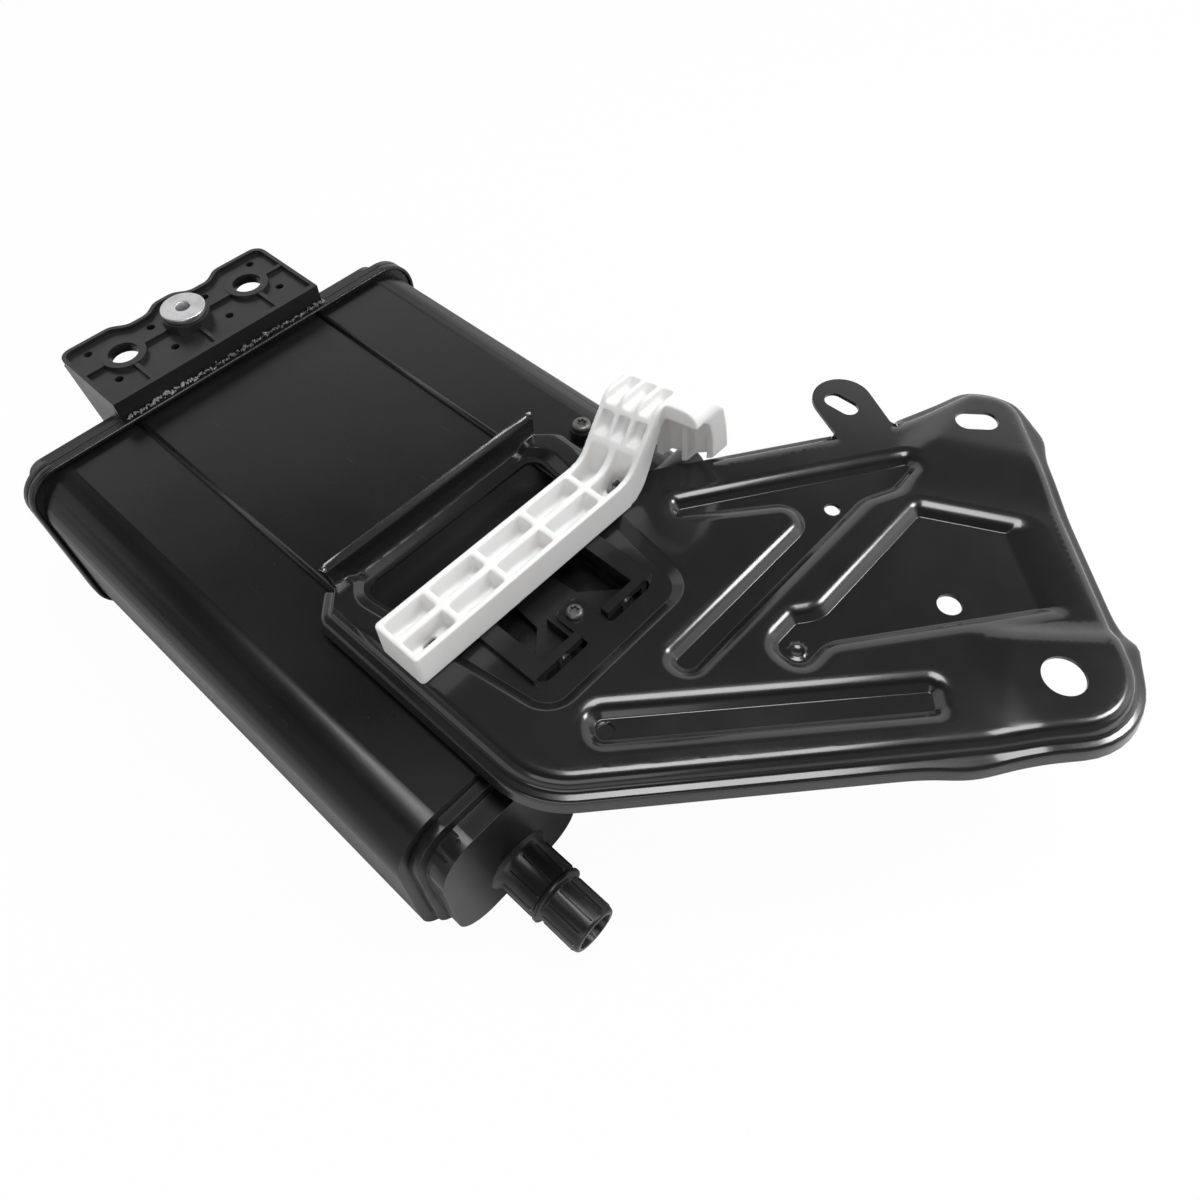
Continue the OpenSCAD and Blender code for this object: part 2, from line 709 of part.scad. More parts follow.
// Bar between two places along X whose profile, [y from the ramp's foot, z], slides along Y with the guard's skew
module skewed_bar(x0, x1, profile) {
  reach = 3 * hook_w;
  intersection() {
    translate([x0, guard_y0, 0]) cube([x1 - x0, 2 * guard_l, 2 * guard_peak]);
    translate([guard_x0, guard_foot, 0]) rotate(guard_skew) along_x(-reach, reach)
      polygon([for (p = profile) [p[0] * cos(guard_skew), p[1]]]);
  }
}

// Front of the ramp, from the foot of its pockets to their top
ramp_front = [[5.5, guard_top + 9.7], [12, guard_peak - 6]];
ramp_slope = (ramp_front[0][1] - guard_top) / ramp_front[0][0];
// How deep the ramp's root lies inside the bar
ramp_sunk = 1;

// Far side of the hook, from its roof down the outside and up the inside
hook_far = [
  [27, guard_peak], [32, guard_peak - 2.2], [35.7, guard_peak - 8], [38.7, guard_peak - 16.9],
  [41.2, guard_z + 14], [43.2, guard_z], [32.8, guard_z], [31.6, guard_z + 12.2],
  [30.2, guard_peak - 20.3], [26.5, guard_peak - 9.3], [22.5, guard_peak - 5], [19, guard_peak - 4.2]
];

// Ramp from the bar up to the hook's roof
ramp_profile = [
  [-6, guard_z + ramp_sunk], [1, guard_z + ramp_sunk], [4, guard_z + 1.4], [8.7, guard_z + 6.3],
  [11.8, guard_z + 13.6],
  [15.4, guard_top + 8.5], [18.1, guard_peak - 9.3], [20.6, guard_peak - 3.5], [22, guard_peak - 2],
  [22, guard_peak], [18, guard_peak], [14.8, guard_peak - 1.8], ramp_front[1], ramp_front[0],
  [-ramp_sunk, guard_top - ramp_sunk * ramp_slope], [-6, guard_top - ramp_sunk * ramp_slope]
];

// Hollow of the last cell, in front of the ramp
foot_hollow = [
  [-2 * last_cell, guard_z + guard_wall], [-3.5, guard_z + guard_wall], [-1.4, guard_z + guard_wall + 3.5],
  [-0.8, guard_top - 2], [-0.8, guard_top + 1], [-2 * last_cell, guard_top + 1]
];

// Hollow between two ribs inside the far wall of the hook
hook_hollow = [
  [29, guard_peak - 19.5], [37.2, guard_peak - 19.5], [39.2, guard_z + 14], [41.3, guard_z - 1], [29, guard_z - 1]
];

// Pocket in the slope of the ramp, and pocket in the roof behind it
function slope_pocket() =
  let (u = unit(ramp_front[1] - ramp_front[0]), n = [u[1], -u[0]], a = ramp_front[0] + u * 0.6, b = ramp_front[1] - u * 0.8)
  [a - n * 2, b - n * 2, b + n * 4.5, a + n * 4.5];
roof_pocket = [[15.2, guard_peak + 1], [16.6, guard_peak - 3], [24, guard_peak - 3], [24, guard_peak + 1]];

// Flat bar of the guard with its open cells
module guard_bar() {
  cell_w = (guard_w - 3 * guard_wall) / 2;
  starts = concat([guard_y0 + guard_wall], [for (y = guard_rib_y) y + guard_wall / 2]);
  ends = [for (y = guard_rib_y) y - guard_wall / 2];
  end_y = guard_l + 1.5 * ramp_sunk;
  difference() {
    translate([guard_x0, guard_y0, guard_z]) linear_extrude(guard_h) {
      polygon([[0, guard_end_r], [guard_w, guard_end_r], [guard_w, end_y + guard_w * tan(guard_skew)], [0, end_y]]);
      translate([guard_end_r, 0]) square([guard_w - 2 * guard_end_r, guard_end_r + 1]);
      for (x = [guard_end_r, guard_w - guard_end_r]) translate([x, guard_end_r]) circle(guard_end_r);
    }
    for (i = [0:guard_cells - 2], j = [0, 1])
      translate([guard_x0 + guard_wall + j * (cell_w + guard_wall), starts[i], guard_z + guard_wall])
        cube([cell_w, ends[i] - starts[i], guard_h]);
  }
}

// Hollows of the last cell on both sides of the long rib
module guard_foot_cells() {
  cell_w = (guard_w - 3 * guard_wall) / 2;
  last_rib = guard_rib_y[guard_cells - 2];
  intersection() {
    translate([guard_x0, last_rib + guard_wall / 2, guard_z]) cube([guard_w, guard_l, 2 * guard_h]);
    for (j = [0, 1]) let (x = guard_x0 + guard_wall + j * (cell_w + guard_wall)) skewed_bar(x, x + cell_w, foot_hollow);
  }
}

// White guard: an open ribbed bar, a ramp with pockets and a hook over the vent pipe
module hose_guard() {
  columns = 3;
  pocket_w = (guard_w - guard_wall * (columns + 1)) / columns;
  end_t = 1.5 * guard_wall;
  hollow_w = (hook_w - end_t * (columns + 1)) / columns;
  color([0.94, 0.94, 0.92]) difference() {
    union() {
      guard_bar();
      skewed_bar(guard_x0, guard_x1, ramp_profile);
      skewed_bar(guard_x0, guard_x0 + hook_w, concat([[19, guard_peak]], hook_far));
    }
    guard_foot_cells();
    for (i = [0:columns - 1]) let (x = guard_x0 + guard_wall + i * (pocket_w + guard_wall)) {
      skewed_bar(x, x + pocket_w, slope_pocket());
      skewed_bar(x, x + pocket_w, roof_pocket);
    }
    for (i = [0:columns - 1]) let (x = guard_x0 + end_t + i * (hollow_w + end_t))
      skewed_bar(x, x + hollow_w, hook_hollow);
    for (c = guard_catches) translate([guard_slot_x - guard_slot[0] / 2, c[0] - guard_slot[1] / 2, guard_z - 1])
      cube([guard_slot[0], guard_slot[1], guard_wall + 2]);
  }
}

// Pan-head screw with a head of diameter d and a socket, standing on height z
module torx_screw(z, d) {
  translate([0, 0, z]) difference() {
    union() {
      cylinder(d = d, h = screw_head_h * 0.6);
      translate([0, 0, screw_head_h * 0.6 - eps])
        cylinder(d1 = d, d2 = d * 0.7, h = screw_head_h * 0.4);
      translate([0, 0, -screw_l]) cylinder(d = screw_d, h = screw_l + eps);
    }
    translate([0, 0, screw_head_h - 1.2]) cylinder(d = screw_d * 0.9, h = 2, $fn = 6);
  }
}

// Both visible screws
module torx_screws() {
  color([0.45, 0.45, 0.46]) {
    translate([tongue_screw_x, 0, 0]) torx_screw(window_z, tongue_head_d);
    translate([boss_screw[0], boss_screw[1], 0]) torx_screw(body_h + boss_screw_up, screw_head_d);
  }
}

// Slab of one bay between two places along X
module bay_slab(side, x0, x1) {
  along_x(x0, x1) bay_section(side, bay_play);
}

// Perforated plate of one bay
module bay_grid(side, x0) {
  inner = body_w / 2 - wall - 14;
  y0 = side < 0 ? -inner : partition_y + 12;
  y1 = side < 0 ? partition_y - 12 : inner;
  nz = floor((body_h - 2 * wall - 20) / grid_pitch);
  ny = floor((y1 - y0) / grid_pitch);
  difference() {
    bay_slab(side, x0, x0 + grid_t);
    for (i = [0:ny], k = [0:nz])
      translate([x0 - 1, y0 + (y1 - y0) * i / ny, body_h / 2 + (k - nz / 2) * grid_pitch]) rotate([0, 90, 0])
        cylinder(d = grid_hole_d, h = grid_t + 2, $fn = 24);
  }
}

// Coil spring along X from x0 to x1, centred on y
module spring(x0, x1, y) {
  steps = 12;
  sides = 6;
  rings = spring_turns * steps;
  r = spring_d / 2;
  lead = (x1 - x0 - spring_wire) / rings;
  points = [for (k = [0:rings], s = [0:sides - 1])
    let (a = 360 * k / steps, b = 360 * s / sides, q = r + spring_wire / 2 * cos(b))
    [x0 + spring_wire / 2 + lead * k + spring_wire / 2 * sin(b), y + q * cos(a), body_h / 2 + q * sin(a)]];
  skin = [for (k = [0:rings - 1], s = [0:sides - 1]) let (n = (s + 1) % sides)
    [k * sides + s, k * sides + n, (k + 1) * sides + n, (k + 1) * sides + s]];
  first = [[for (s = [sides - 1:-1:0]) s]];
  last = [[for (s = [0:sides - 1]) rings * sides + s]];
  polyhedron(points, concat(first, skin, last));
}

// Middle of each bay across the canister
main_y = (partition_y - body_w / 2) / 2;
vent_y = (partition_y + body_w / 2) / 2;

module charcoal_bed_main() { color([0.05, 0.05, 0.05]) bay_slab(-1, bed_end_x, bed_x); }
module charcoal_bed_vent() { color([0.05, 0.05, 0.05]) bay_slab(1, bed_end_x, bed_x); }
module port_grid_main() { color([0.2, 0.2, 0.2]) bay_grid(-1, grid_x - grid_t); }
module port_grid_vent() { color([0.2, 0.2, 0.2]) bay_grid(1, grid_x - grid_t); }
module port_fleece_main() { color([0.85, 0.85, 0.8]) bay_slab(-1, bed_x, bed_x + fleece_t); }
module port_fleece_vent() { color([0.85, 0.85, 0.8]) bay_slab(1, bed_x, bed_x + fleece_t); }
module cover_fleece_main() { color([0.85, 0.85, 0.8]) bay_slab(-1, bed_end_x - fleece_t, bed_end_x); }
module cover_fleece_vent() { color([0.85, 0.85, 0.8]) bay_slab(1, bed_end_x - fleece_t, bed_end_x); }
module pressure_plate_main() { color([0.25, 0.25, 0.25]) bay_grid(-1, plate_back_x); }
module pressure_plate_vent() { color([0.25, 0.25, 0.25]) bay_grid(1, plate_back_x); }

module springs_main() {
  color([0.7, 0.7, 0.72]) for (s = [-1, 1]) spring(cover_in_x, plate_back_x, main_y + s * spring_d * 1.4);
}

module springs_vent() {
  color([0.7, 0.7, 0.72]) spring(cover_in_x, plate_back_x, vent_y);
}

canister_body();
end_cover();
port_cap();
threaded_insert();
mounting_bracket();
retainer_frame();
hose_guard();
torx_screws();
charcoal_bed_main();
charcoal_bed_vent();
port_grid_main();
port_grid_vent();
port_fleece_main();
port_fleece_vent();
cover_fleece_main();
cover_fleece_vent();
pressure_plate_main();
pressure_plate_vent();
springs_main();
springs_vent();
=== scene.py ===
"""Charcoal canister: finishes, fine forms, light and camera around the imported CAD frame."""

import math
import random

import bmesh
import bpy
import numpy as np
from mathutils import Matrix, Vector
from mathutils.geometry import delaunay_2d_cdt


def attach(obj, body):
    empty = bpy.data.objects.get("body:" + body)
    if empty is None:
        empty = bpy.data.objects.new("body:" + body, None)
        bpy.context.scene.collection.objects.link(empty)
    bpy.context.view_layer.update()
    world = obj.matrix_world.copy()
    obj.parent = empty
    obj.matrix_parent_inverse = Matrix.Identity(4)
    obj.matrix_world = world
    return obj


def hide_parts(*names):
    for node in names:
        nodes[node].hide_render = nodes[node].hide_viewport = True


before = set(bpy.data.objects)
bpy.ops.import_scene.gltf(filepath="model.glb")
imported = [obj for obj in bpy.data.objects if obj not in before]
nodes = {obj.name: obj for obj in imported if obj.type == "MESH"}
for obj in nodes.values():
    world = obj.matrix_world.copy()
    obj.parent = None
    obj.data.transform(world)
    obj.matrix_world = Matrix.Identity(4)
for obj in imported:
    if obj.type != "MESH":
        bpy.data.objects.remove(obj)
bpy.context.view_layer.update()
MM = 0.001
rng = random.Random(7)

# Camera, solved from the straight edges of the photograph
CAMERA_PLACE = Vector((0.245, -0.1348, 0.390))
CAMERA_RIGHT = Vector((0.73833, 0.67434, -0.01158))
CAMERA_DOWN = Vector((0.54945, -0.61136, -0.56951))
CAMERA_AHEAD = Vector((-0.39112, 0.41413, -0.82190))
LENS = 27.965
SENSOR = 36.0
CLIP_START = 0.01


# Materials


class Paint:
    """A Principled material with short calls for the nodes that it uses."""

    def __init__(self, name):
        self.material = bpy.data.materials.new(name)
        self.material.use_nodes = True
        self.tree = self.material.node_tree
        self.shader = self.tree.nodes["Principled BSDF"]
        self.place = self.add("ShaderNodeTexCoord").outputs["Object"]

    def add(self, kind, **values):
        node = self.tree.nodes.new(kind)
        for key, value in values.items():
            setattr(node, key, value)
        return node

    def link(self, source, target):
        self.tree.links.new(source, target)

    def set(self, **values):
        for key, value in values.items():
            self.shader.inputs[key.replace("_", " ")].default_value = value

    def stretch(self, scale, turn=(0, 0, 0)):
        node = self.add("ShaderNodeMapping")
        node.inputs["Scale"].default_value = scale
        node.inputs["Rotation"].default_value = turn
        self.link(self.place, node.inputs["Vector"])
        return node.outputs["Vector"]

    def noise(self, scale, detail=3.0, rough=0.5, place=None):
        node = self.add("ShaderNodeTexNoise")
        node.inputs["Scale"].default_value = scale
        node.inputs["Detail"].default_value = detail
        node.inputs["Roughness"].default_value = rough
        self.link(place or self.place, node.inputs["Vector"])
        return node.outputs["Fac"]

    def cells(self, scale, place=None):
        node = self.add("ShaderNodeTexVoronoi")
        node.inputs["Scale"].default_value = scale
        self.link(place or self.place, node.inputs["Vector"])
        return node.outputs["Distance"]

    def ramp(self, source, low, high, start=0.0, end=1.0):
        node = self.add("ShaderNodeMapRange")
        node.inputs["From Min"].default_value = low
        node.inputs["From Max"].default_value = high
        node.inputs["To Min"].default_value = start
        node.inputs["To Max"].default_value = end
        self.link(source, node.inputs["Value"])
        return node.outputs["Result"]

    def math(self, kind, a, b):
        node = self.add("ShaderNodeMath", operation=kind)
        for socket, value in zip(node.inputs, (a, b)):
            if isinstance(value, (int, float)):
                socket.default_value = value
            else:
                self.link(value, socket)
        return node.outputs["Value"]

    def mix(self, fac, a, b):
        node = self.add("ShaderNodeMix", data_type="RGBA")
        self.link(fac, node.inputs["Factor"])
        for name, value in (("A", a), ("B", b)):
            socket = [s for s in node.inputs if s.name == name and s.type == "RGBA"][0]
            if isinstance(value, tuple):
                socket.default_value = value + (1.0,)
            else:
                self.link(value, socket)
        return [s for s in node.outputs if s.type == "RGBA"][0]

    def colour(self, source):
        self.link(source, self.shader.inputs["Base Color"])

    def rough(self, source):
        self.link(source, self.shader.inputs["Roughness"])

    def bump(self, source, strength, depth):
        node = self.add("ShaderNodeBump")
        node.inputs["Strength"].default_value = strength
        node.inputs["Distance"].default_value = depth
        self.link(source, node.inputs["Height"])
        previous = self.shader.inputs["Normal"].links
        if previous:
            self.link(previous[0].from_socket, node.inputs["Normal"])
        self.link(node.outputs["Normal"], self.shader.inputs["Normal"])


def moulded_plastic(name, dark, pale, rough, dust, scratch):
    """Satin moulded plastic: soft tone changes, faint flow marks, dust specks and fine scratches."""
    p = Paint(name)
    tone = p.ramp(p.noise(9.0, 4.0, 0.55), 0.35, 0.68)
    base = p.mix(tone, dark, pale)
    specks = p.ramp(p.cells(420.0), 0.075, 0.03)
    patch = p.ramp(p.noise(23.0, 2.0), 0.55, 0.7)
    specks = p.math("MULTIPLY", p.math("MULTIPLY", specks, patch), dust)
    base = p.mix(specks, base, (0.30, 0.30, 0.29))
    lines = p.ramp(p.noise(60.0, 3.0, 0.6, p.stretch((0.6, 14.0, 6.0), (0.2, 0.1, 0.5))), 0.71, 0.76)
    lines = p.math("MULTIPLY", lines, scratch)
    base = p.mix(lines, base, (0.16, 0.16, 0.16))
    p.colour(base)
    p.rough(p.ramp(p.noise(14.0, 5.0, 0.6), 0.3, 0.7, *rough))
    p.bump(p.noise(1500.0, 2.0), 0.10, 0.00012)
    p.bump(p.noise(35.0, 2.0), 0.10, 0.0006)
    p.set(Specular_IOR_Level=0.45)
    return p.material


def gloss_coat(name):
    """Black electro-coat on pressed steel: glossy, with faint orange peel, dust and dull patches."""
    p = Paint(name)
    tone = p.ramp(p.noise(7.0, 4.0, 0.6), 0.3, 0.7)
    base = p.mix(tone, (0.0085, 0.0085, 0.0088), (0.0130, 0.0128, 0.0128))
    specks = p.ramp(p.cells(520.0), 0.06, 0.02)
    patch = p.ramp(p.noise(31.0, 2.0), 0.57, 0.72)
    base = p.mix(p.math("MULTIPLY", specks, patch), base, (0.22, 0.22, 0.21))
    p.colour(base)
    p.rough(p.ramp(p.noise(18.0, 5.0, 0.65), 0.3, 0.75, 0.18, 0.28))
    p.bump(p.noise(700.0, 2.0), 0.05, 0.00015)
    p.bump(p.noise(45.0, 2.0), 0.08, 0.0006)
    p.set(Specular_IOR_Level=0.5, Coat_Weight=0.5, Coat_Roughness=0.10)
    return p.material


def white_plastic(name):
    """Natural white plastic with slight tone changes and a satin skin."""
    p = Paint(name)
    tone = p.ramp(p.noise(16.0, 3.0), 0.3, 0.7)
    p.colour(p.mix(tone, (0.90, 0.90, 0.89), (0.95, 0.95, 0.945)))
    p.rough(p.ramp(p.noise(40.0, 4.0), 0.3, 0.7, 0.36, 0.5))
    p.bump(p.noise(900.0, 2.0), 0.08, 0.0001)
    p.set(Subsurface_Weight=0.12, Subsurface_Scale=0.004)
    return p.material


def turned_steel(name, dark, pale, rough):
    """Bright steel with fine turning rings and small stains."""
    p = Paint(name)
    rings = p.noise(2600.0, 2.0, 0.5, p.stretch((1.0, 1.0, 0.05)))
    stain = p.ramp(p.noise(160.0, 4.0), 0.35, 0.7)
    p.colour(p.mix(stain, pale, dark))
    p.rough(p.ramp(rings, 0.3, 0.7, rough, rough + 0.14))
    p.bump(rings, 0.08, 0.0001)
    p.set(Metallic=1.0)
    return p.material


def fleece_pad(name):
    """Felted filter pad."""
    p = Paint(name)
    fibres = p.noise(900.0, 4.0, 0.7, p.stretch((1.0, 2.5, 1.0)))
    p.colour(p.mix(fibres, (0.62, 0.61, 0.57), (0.84, 0.83, 0.79)))
    p.bump(fibres, 0.6, 0.0005)
    p.set(Roughness=0.95)
    return p.material


def carbon_grains(name):
    """Bed of carbon pellets."""
    p = Paint(name)
    grains = p.cells(380.0)
    p.colour(p.mix(p.ramp(grains, 0.1, 0.7), (0.035, 0.035, 0.036), (0.006, 0.006, 0.006)))
    p.bump(grains, 0.9, 0.0012)
    p.set(Roughness=0.85)
    return p.material


BODY = moulded_plastic(
    "body plastic", (0.0050, 0.0050, 0.0053), (0.0085, 0.0083, 0.0085),
    rough=(0.24, 0.34), dust=0.5, scratch=0.12,
)
COVER = moulded_plastic(
    "cover plastic", (0.012, 0.012, 0.0125), (0.019, 0.019, 0.0195),
    rough=(0.26, 0.40), dust=0.7, scratch=0.2,
)
CAP = moulded_plastic(
    "cap plastic", (0.0060, 0.0060, 0.0065), (0.011, 0.011, 0.0115),
    rough=(0.24, 0.36), dust=0.4, scratch=0.12,
)
FRAME = moulded_plastic(
    "frame plastic", (0.0060, 0.0060, 0.0064), (0.0105, 0.0105, 0.011),
    rough=(0.28, 0.40), dust=0.3, scratch=0.1,
)
GRID = moulded_plastic(
    "grid plastic", (0.05, 0.05, 0.05), (0.08, 0.08, 0.08),
    rough=(0.45, 0.6), dust=0.2, scratch=0.5,
)
COAT = gloss_coat("bracket coat")
WHITE = white_plastic("guard plastic")
INSERT = turned_steel("insert steel", (0.60, 0.60, 0.61), (0.82, 0.82, 0.83), 0.30)
SCREW = turned_steel("screw steel", (0.14, 0.138, 0.136), (0.26, 0.257, 0.253), 0.40)
SPRING = turned_steel("spring steel", (0.35, 0.35, 0.36), (0.55, 0.55, 0.56), 0.30)
# Weld flash: its pale grey colour is a painted highlight for the glints on the ragged flash, not the
# plastic's own colour.
FLASH_PAINTED_HIGHLIGHT = moulded_plastic(
    "melted plastic with painted highlight", (0.07, 0.07, 0.07), (0.34, 0.34, 0.33),
    rough=(0.25, 0.4), dust=0.2, scratch=0.0,
)
FLEECE = fleece_pad("fleece")
CARBON = carbon_grains("charcoal")

FINISH = {
    "canister_body": BODY,
    "end_cover": COVER,
    "port_cap": CAP,
    "threaded_insert": INSERT,
    "mounting_bracket": COAT,
    "retainer_frame": FRAME,
    "hose_guard": WHITE,
    "torx_screws": SCREW,
    "charcoal_bed": CARBON,
    "port_grid": GRID,
    "pressure_plate": GRID,
    "port_fleece": FLEECE,
    "cover_fleece": FLEECE,
    "springs": SPRING,
}


def finish_of(name):
    """Material of a CAD node: the longest entry that its name starts with."""
    keys = [k for k in FINISH if name.startswith(k)]
    return FINISH[max(keys, key=len)]


# Rounding of the sharp edges of the CAD pieces
EDGE = {
    "canister_body": 0.35 * MM,
    "end_cover": 0.5 * MM,
    "port_cap": 1.2 * MM,
    "retainer_frame": 0.4 * MM,
    "threaded_insert": 0.5 * MM,
}
SHARP = math.radians(28)
# Faces that bend less than this are joined, and points nearer than the gap are one
FLAT = math.radians(0.3)
WELD_GAP = 1e-6


def round_edges(obj, width, sharp, segments=2):
    """Rounds the edges of a piece that bend more than an angle."""
    bevel = obj.modifiers.new("edges", "BEVEL")
    bevel.width = width
    bevel.segments = segments
    bevel.limit_method = "ANGLE"
    bevel.angle_limit = sharp
    return bevel


def soften(obj, width):
    """Welds a CAD mesh, joins its flat faces and rounds its sharp edges."""
    weld = obj.modifiers.new("weld", "WELD")
    weld.merge_threshold = WELD_GAP
    flat = obj.modifiers.new("flat", "DECIMATE")
    flat.decimate_type = "DISSOLVE"
    flat.angle_limit = FLAT
    bevel = round_edges(obj, width, SHARP)
    bevel.harden_normals = True
    bevel.use_clamp_overlap = True


for name, node in nodes.items():
    node.data.materials.clear()
    node.data.materials.append(finish_of(name))
    if name in EDGE:
        soften(node, EDGE[name])


# Bracket: the pressed sheet with soft shoulders, crisp creases and raised corners

SHEET = 1.5
PLATE_Z = 104.0
FLANGE_X = 29.5
ARC_STEPS = 10
RIM_STEP = 3.0
FILL_STEP = 2.2
FLAT_RING = 0.3
FOOT_RING = 0.25
WINDOW_RING = 0.25
LEAST_R = 0.6
# Share of the grid's step that stays free beside a border, and the gap at which two points are one
FILL_FREE = 0.4
SAME_POINT = 1e-6
# Steps around the top and the foot of a pressed wall
TOP_STEPS = 6
FOOT_STEPS = 3
# Rounding of the sheet's cut edges
SHEET_EDGE = 0.3
SHEET_SHARP = math.radians(60)

# Outlines in millimetres: corners as x, y and radius, anticlockwise
PLATE = [
    (FLANGE_X, -53, 2), (36.5, -60, 2), (142.7, -60, 32), (284.3, 97, 26), (171, 207, 14), (155, 197.5, 8),
    (140.5, 160, 2.5), (111.4, 176.1, 13), (97, 153.4, 13), (126.3, 139.2, 2.5), (72.8, 60, 20),
    (36, 60, 2), (FLANGE_X, 54, 2),
]
BEAD_HOOK = [
    (92, 63, 7), (104.5, 56, 7), (139.5, 98, 4), (139.5, 3, 8), (158.3, 3, 10), (158.3, 118, 12),
    (164.5, 131, 12), (164.5, 151, 7), (153, 153, 7),
]
BEAD_LONG = [(130.8, -28.5, 9), (146.8, -40.8, 9), (233.5, 54.5, 7), (220.5, 69, 7)]
PANEL = [
    (162.5, 31.5, 11), (186.5, 31.5, 11), (187, 50, 8), (242.5, 121.5, 7), (209, 151.5, 8), (168.7, 131, 8),
    (168.7, 62, 9), (162.5, 54, 8),
]
WINDOW = [(31.8, -54, 12), (131, -39, 14), (131, 39, 14), (31.8, 54, 12)]
LONG_WINDOW = [(37, -46.8, 6), (62, -43, 6), (62, 43, 6), (37, 46.8, 6)]
TONGUE_WINDOW = [
    (69, -30, 4), (117.5, -30, 4), (117.5, -6, 1.5), (99, -6, 3), (99, 6, 3), (117.5, 6, 1.5),
    (117.5, 30, 4), (69, 30, 4),
]
# Round holes as centre and radius
HOLE_LARGE = ((252, 92), 8.0)
HOLE_MID = ((206, 97.5), 4.8)
HOLE_SMALL = ((146.8, 107), 3.2)
HOLE_BEAD = ((145.4, -27.7), 3.0)
HOLE_SCREW = ((104.5, 0), 2.15)
# Slots as centre, length, width and turn in degrees
SLOT_TIP = ((166.5, 183.5), 18.0, 10.5, 38.0)
SLOT_TAB = ((117, 156.2), 16.0, 8.5, 0.0)
# Raised ring in the panel: centre, radii from its foot inwards, height, and the share of it left inside
EMBOSS_PLACE = (175.5, 42.5)
EMBOSS_RADII = (3.7, 3.1, 2.3, 1.7)
EMBOSS_RISE = 0.45
EMBOSS_DISH = 0.3

# Depth, width of the wall, radius of the shoulder and of the crease at the foot
BEAD = (4.0, 4.0, 8.4, 0.8)
# How far the outlines of the beads are drawn in to leave room for their shoulders
DRAWN_IN = 1.8
RECESS = (3.0, 4.5, 2.2, 0.8)
# Wall widths of the panel as shares of a bead's, one for each edge
PANEL_RUNS = [1, 1, 1.1, 2.0, 1.15, 1, 1, 1]
# The recess has a steep wall beside the flange
WINDOW_RUNS = [1, 1, 1, 0.45]

# Raised corners: height, and the slopes that bound them as a point, the way up in degrees and the width
RAISED = [
    (3.0, [((218, 84), 28, 17), ((233, 59), 62, 24), ((236, 110), -50, 9)]),
    (2.4, [((187, 145), 116, 30), ((146, 170), 4, 14)]),
]

# Rim from the plate's edge to the foot of the skirt: way out and height
RIM = [
    (-4, 0), (-2.9, -0.15), (-1.7, -0.55), (-0.7, -1.2), (0.1, -2.1), (0.7, -3.2), (1.2, -4.2), (1.9, -4.8),
    (2.8, -5.05), (4.2, -5.2), (5.0, -5.5), (5.5, -6.2), (5.9, -7.5), (6.75, -10.5),
]
SHELF_ROW = 8
# Flange from its fold up to the flared edge
FLANGE = [
    (-0.6, 0.06), (-0.25, 0.35), (0.05, 1.0), (0.35, 2.2), (1.2, 6.8), (1.7, 8.0), (2.6, 8.9), (3.7, 9.4),
]
# Strip beside the flange that lies level with the recess: its side, half its length and how far it fades
STRIP_X = 36.0
STRIP_END = 47.5
STRIP_FADE = 5.0
# Lobes of the skirt: place, how far they stand out and half their length
LOBES = [((174, 216), 4.5, 5), ((193, 200), 3.6, 9), ((267, 127), 3.2, 8), ((249, 43), 2.0, 12)]
# Way out from the fold at which a lobe's place is measured, and how fast lobes grow down the skirt
LOBE_OUT = 6.0
LOBE_GROWTH = 1.6
# Where the rim ends beside the tab and the pipe, the length over which it fades and what is left of it
RIM_ENDS = [(126.3, 139.2), (140.5, 160.0), (95.0, 92.9)]
RIM_FADE = 9.0
RIM_LEFT = 0.15
# The rim's fold is tight beside the flange: its least share, where it starts to widen and over what length
FOLD_LEAST = 0.2
FOLD_START = 45.0
FOLD_RUN = 15.0
# Where the plate's edge bears the flange, where it is a flat tab and where it stays open at the pipe
FLANGE_REACH = FLANGE_X + 0.3
TAB_X = (96.0, 140.2)
TAB_Y = (138.0, 180.0)
OPEN_X = (73.0, 95.0)
OPEN_Y = 61.0


def smooth(t):
    """Smooth step from 0 to 1."""
    t = min(max(t, 0.0), 1.0)
    return t * t * (3 - 2 * t)


def shifted(corners, push):
    """Corners of the outline with its edges moved out by push, one number or one for each edge."""
    count = len(corners)
    pushes = push if isinstance(push, list) else [push] * count
    moved = []
    for k, (x, y, r) in enumerate(corners):
        ahead = Vector(corners[(k + 1) % count][:2]) - Vector((x, y))
        behind = Vector((x, y)) - Vector(corners[k - 1][:2])
        n = Vector((behind.y, -behind.x)).normalized()
        m = Vector((ahead.y, -ahead.x)).normalized()
        bend = n.x * m.y - n.y * m.x
        a, b = pushes[k - 1], pushes[k]
        side = 1 if bend > 0 else -1
        place = (x + (a * m.y - b * n.y) / bend, y + (b * n.x - a * m.x) / bend)
        moved.append((*place, max(r + side * (a + b) / 2, LEAST_R)))
    return moved


def corner_arc(a, b, c, steps):
    """Points that round corner b between its neighbours."""
    p = Vector(b[:2])
    u = (p - Vector(a[:2])).normalized()
    v = (Vector(c[:2]) - p).normalized()
    turn = math.atan2(u.x * v.y - u.y * v.x, u.dot(v))
    to_centre = Vector((-u.y, u.x)) * (-1 if turn < 0 else 1)
    centre = p - u * b[2] * math.tan(abs(turn) / 2) + to_centre * b[2]
    return [centre - (Matrix.Rotation(turn * i / steps, 2) @ to_centre) * b[2] for i in range(steps + 1)]


def outline(corners, splits=None, steps=ARC_STEPS):
    """Rounded outline of the corners; splits gives the number of stretches along each straight edge."""
    count = len(corners)
    arcs = [corner_arc(corners[k - 1], corners[k], corners[(k + 1) % count], steps) for k in range(count)]
    points = []
    for k, arc in enumerate(arcs):
        points += arc
        if splits:
            end = arcs[(k + 1) % count][0]
            points += [arc[-1].lerp(end, i / splits[k]) for i in range(1, splits[k])]
    return points


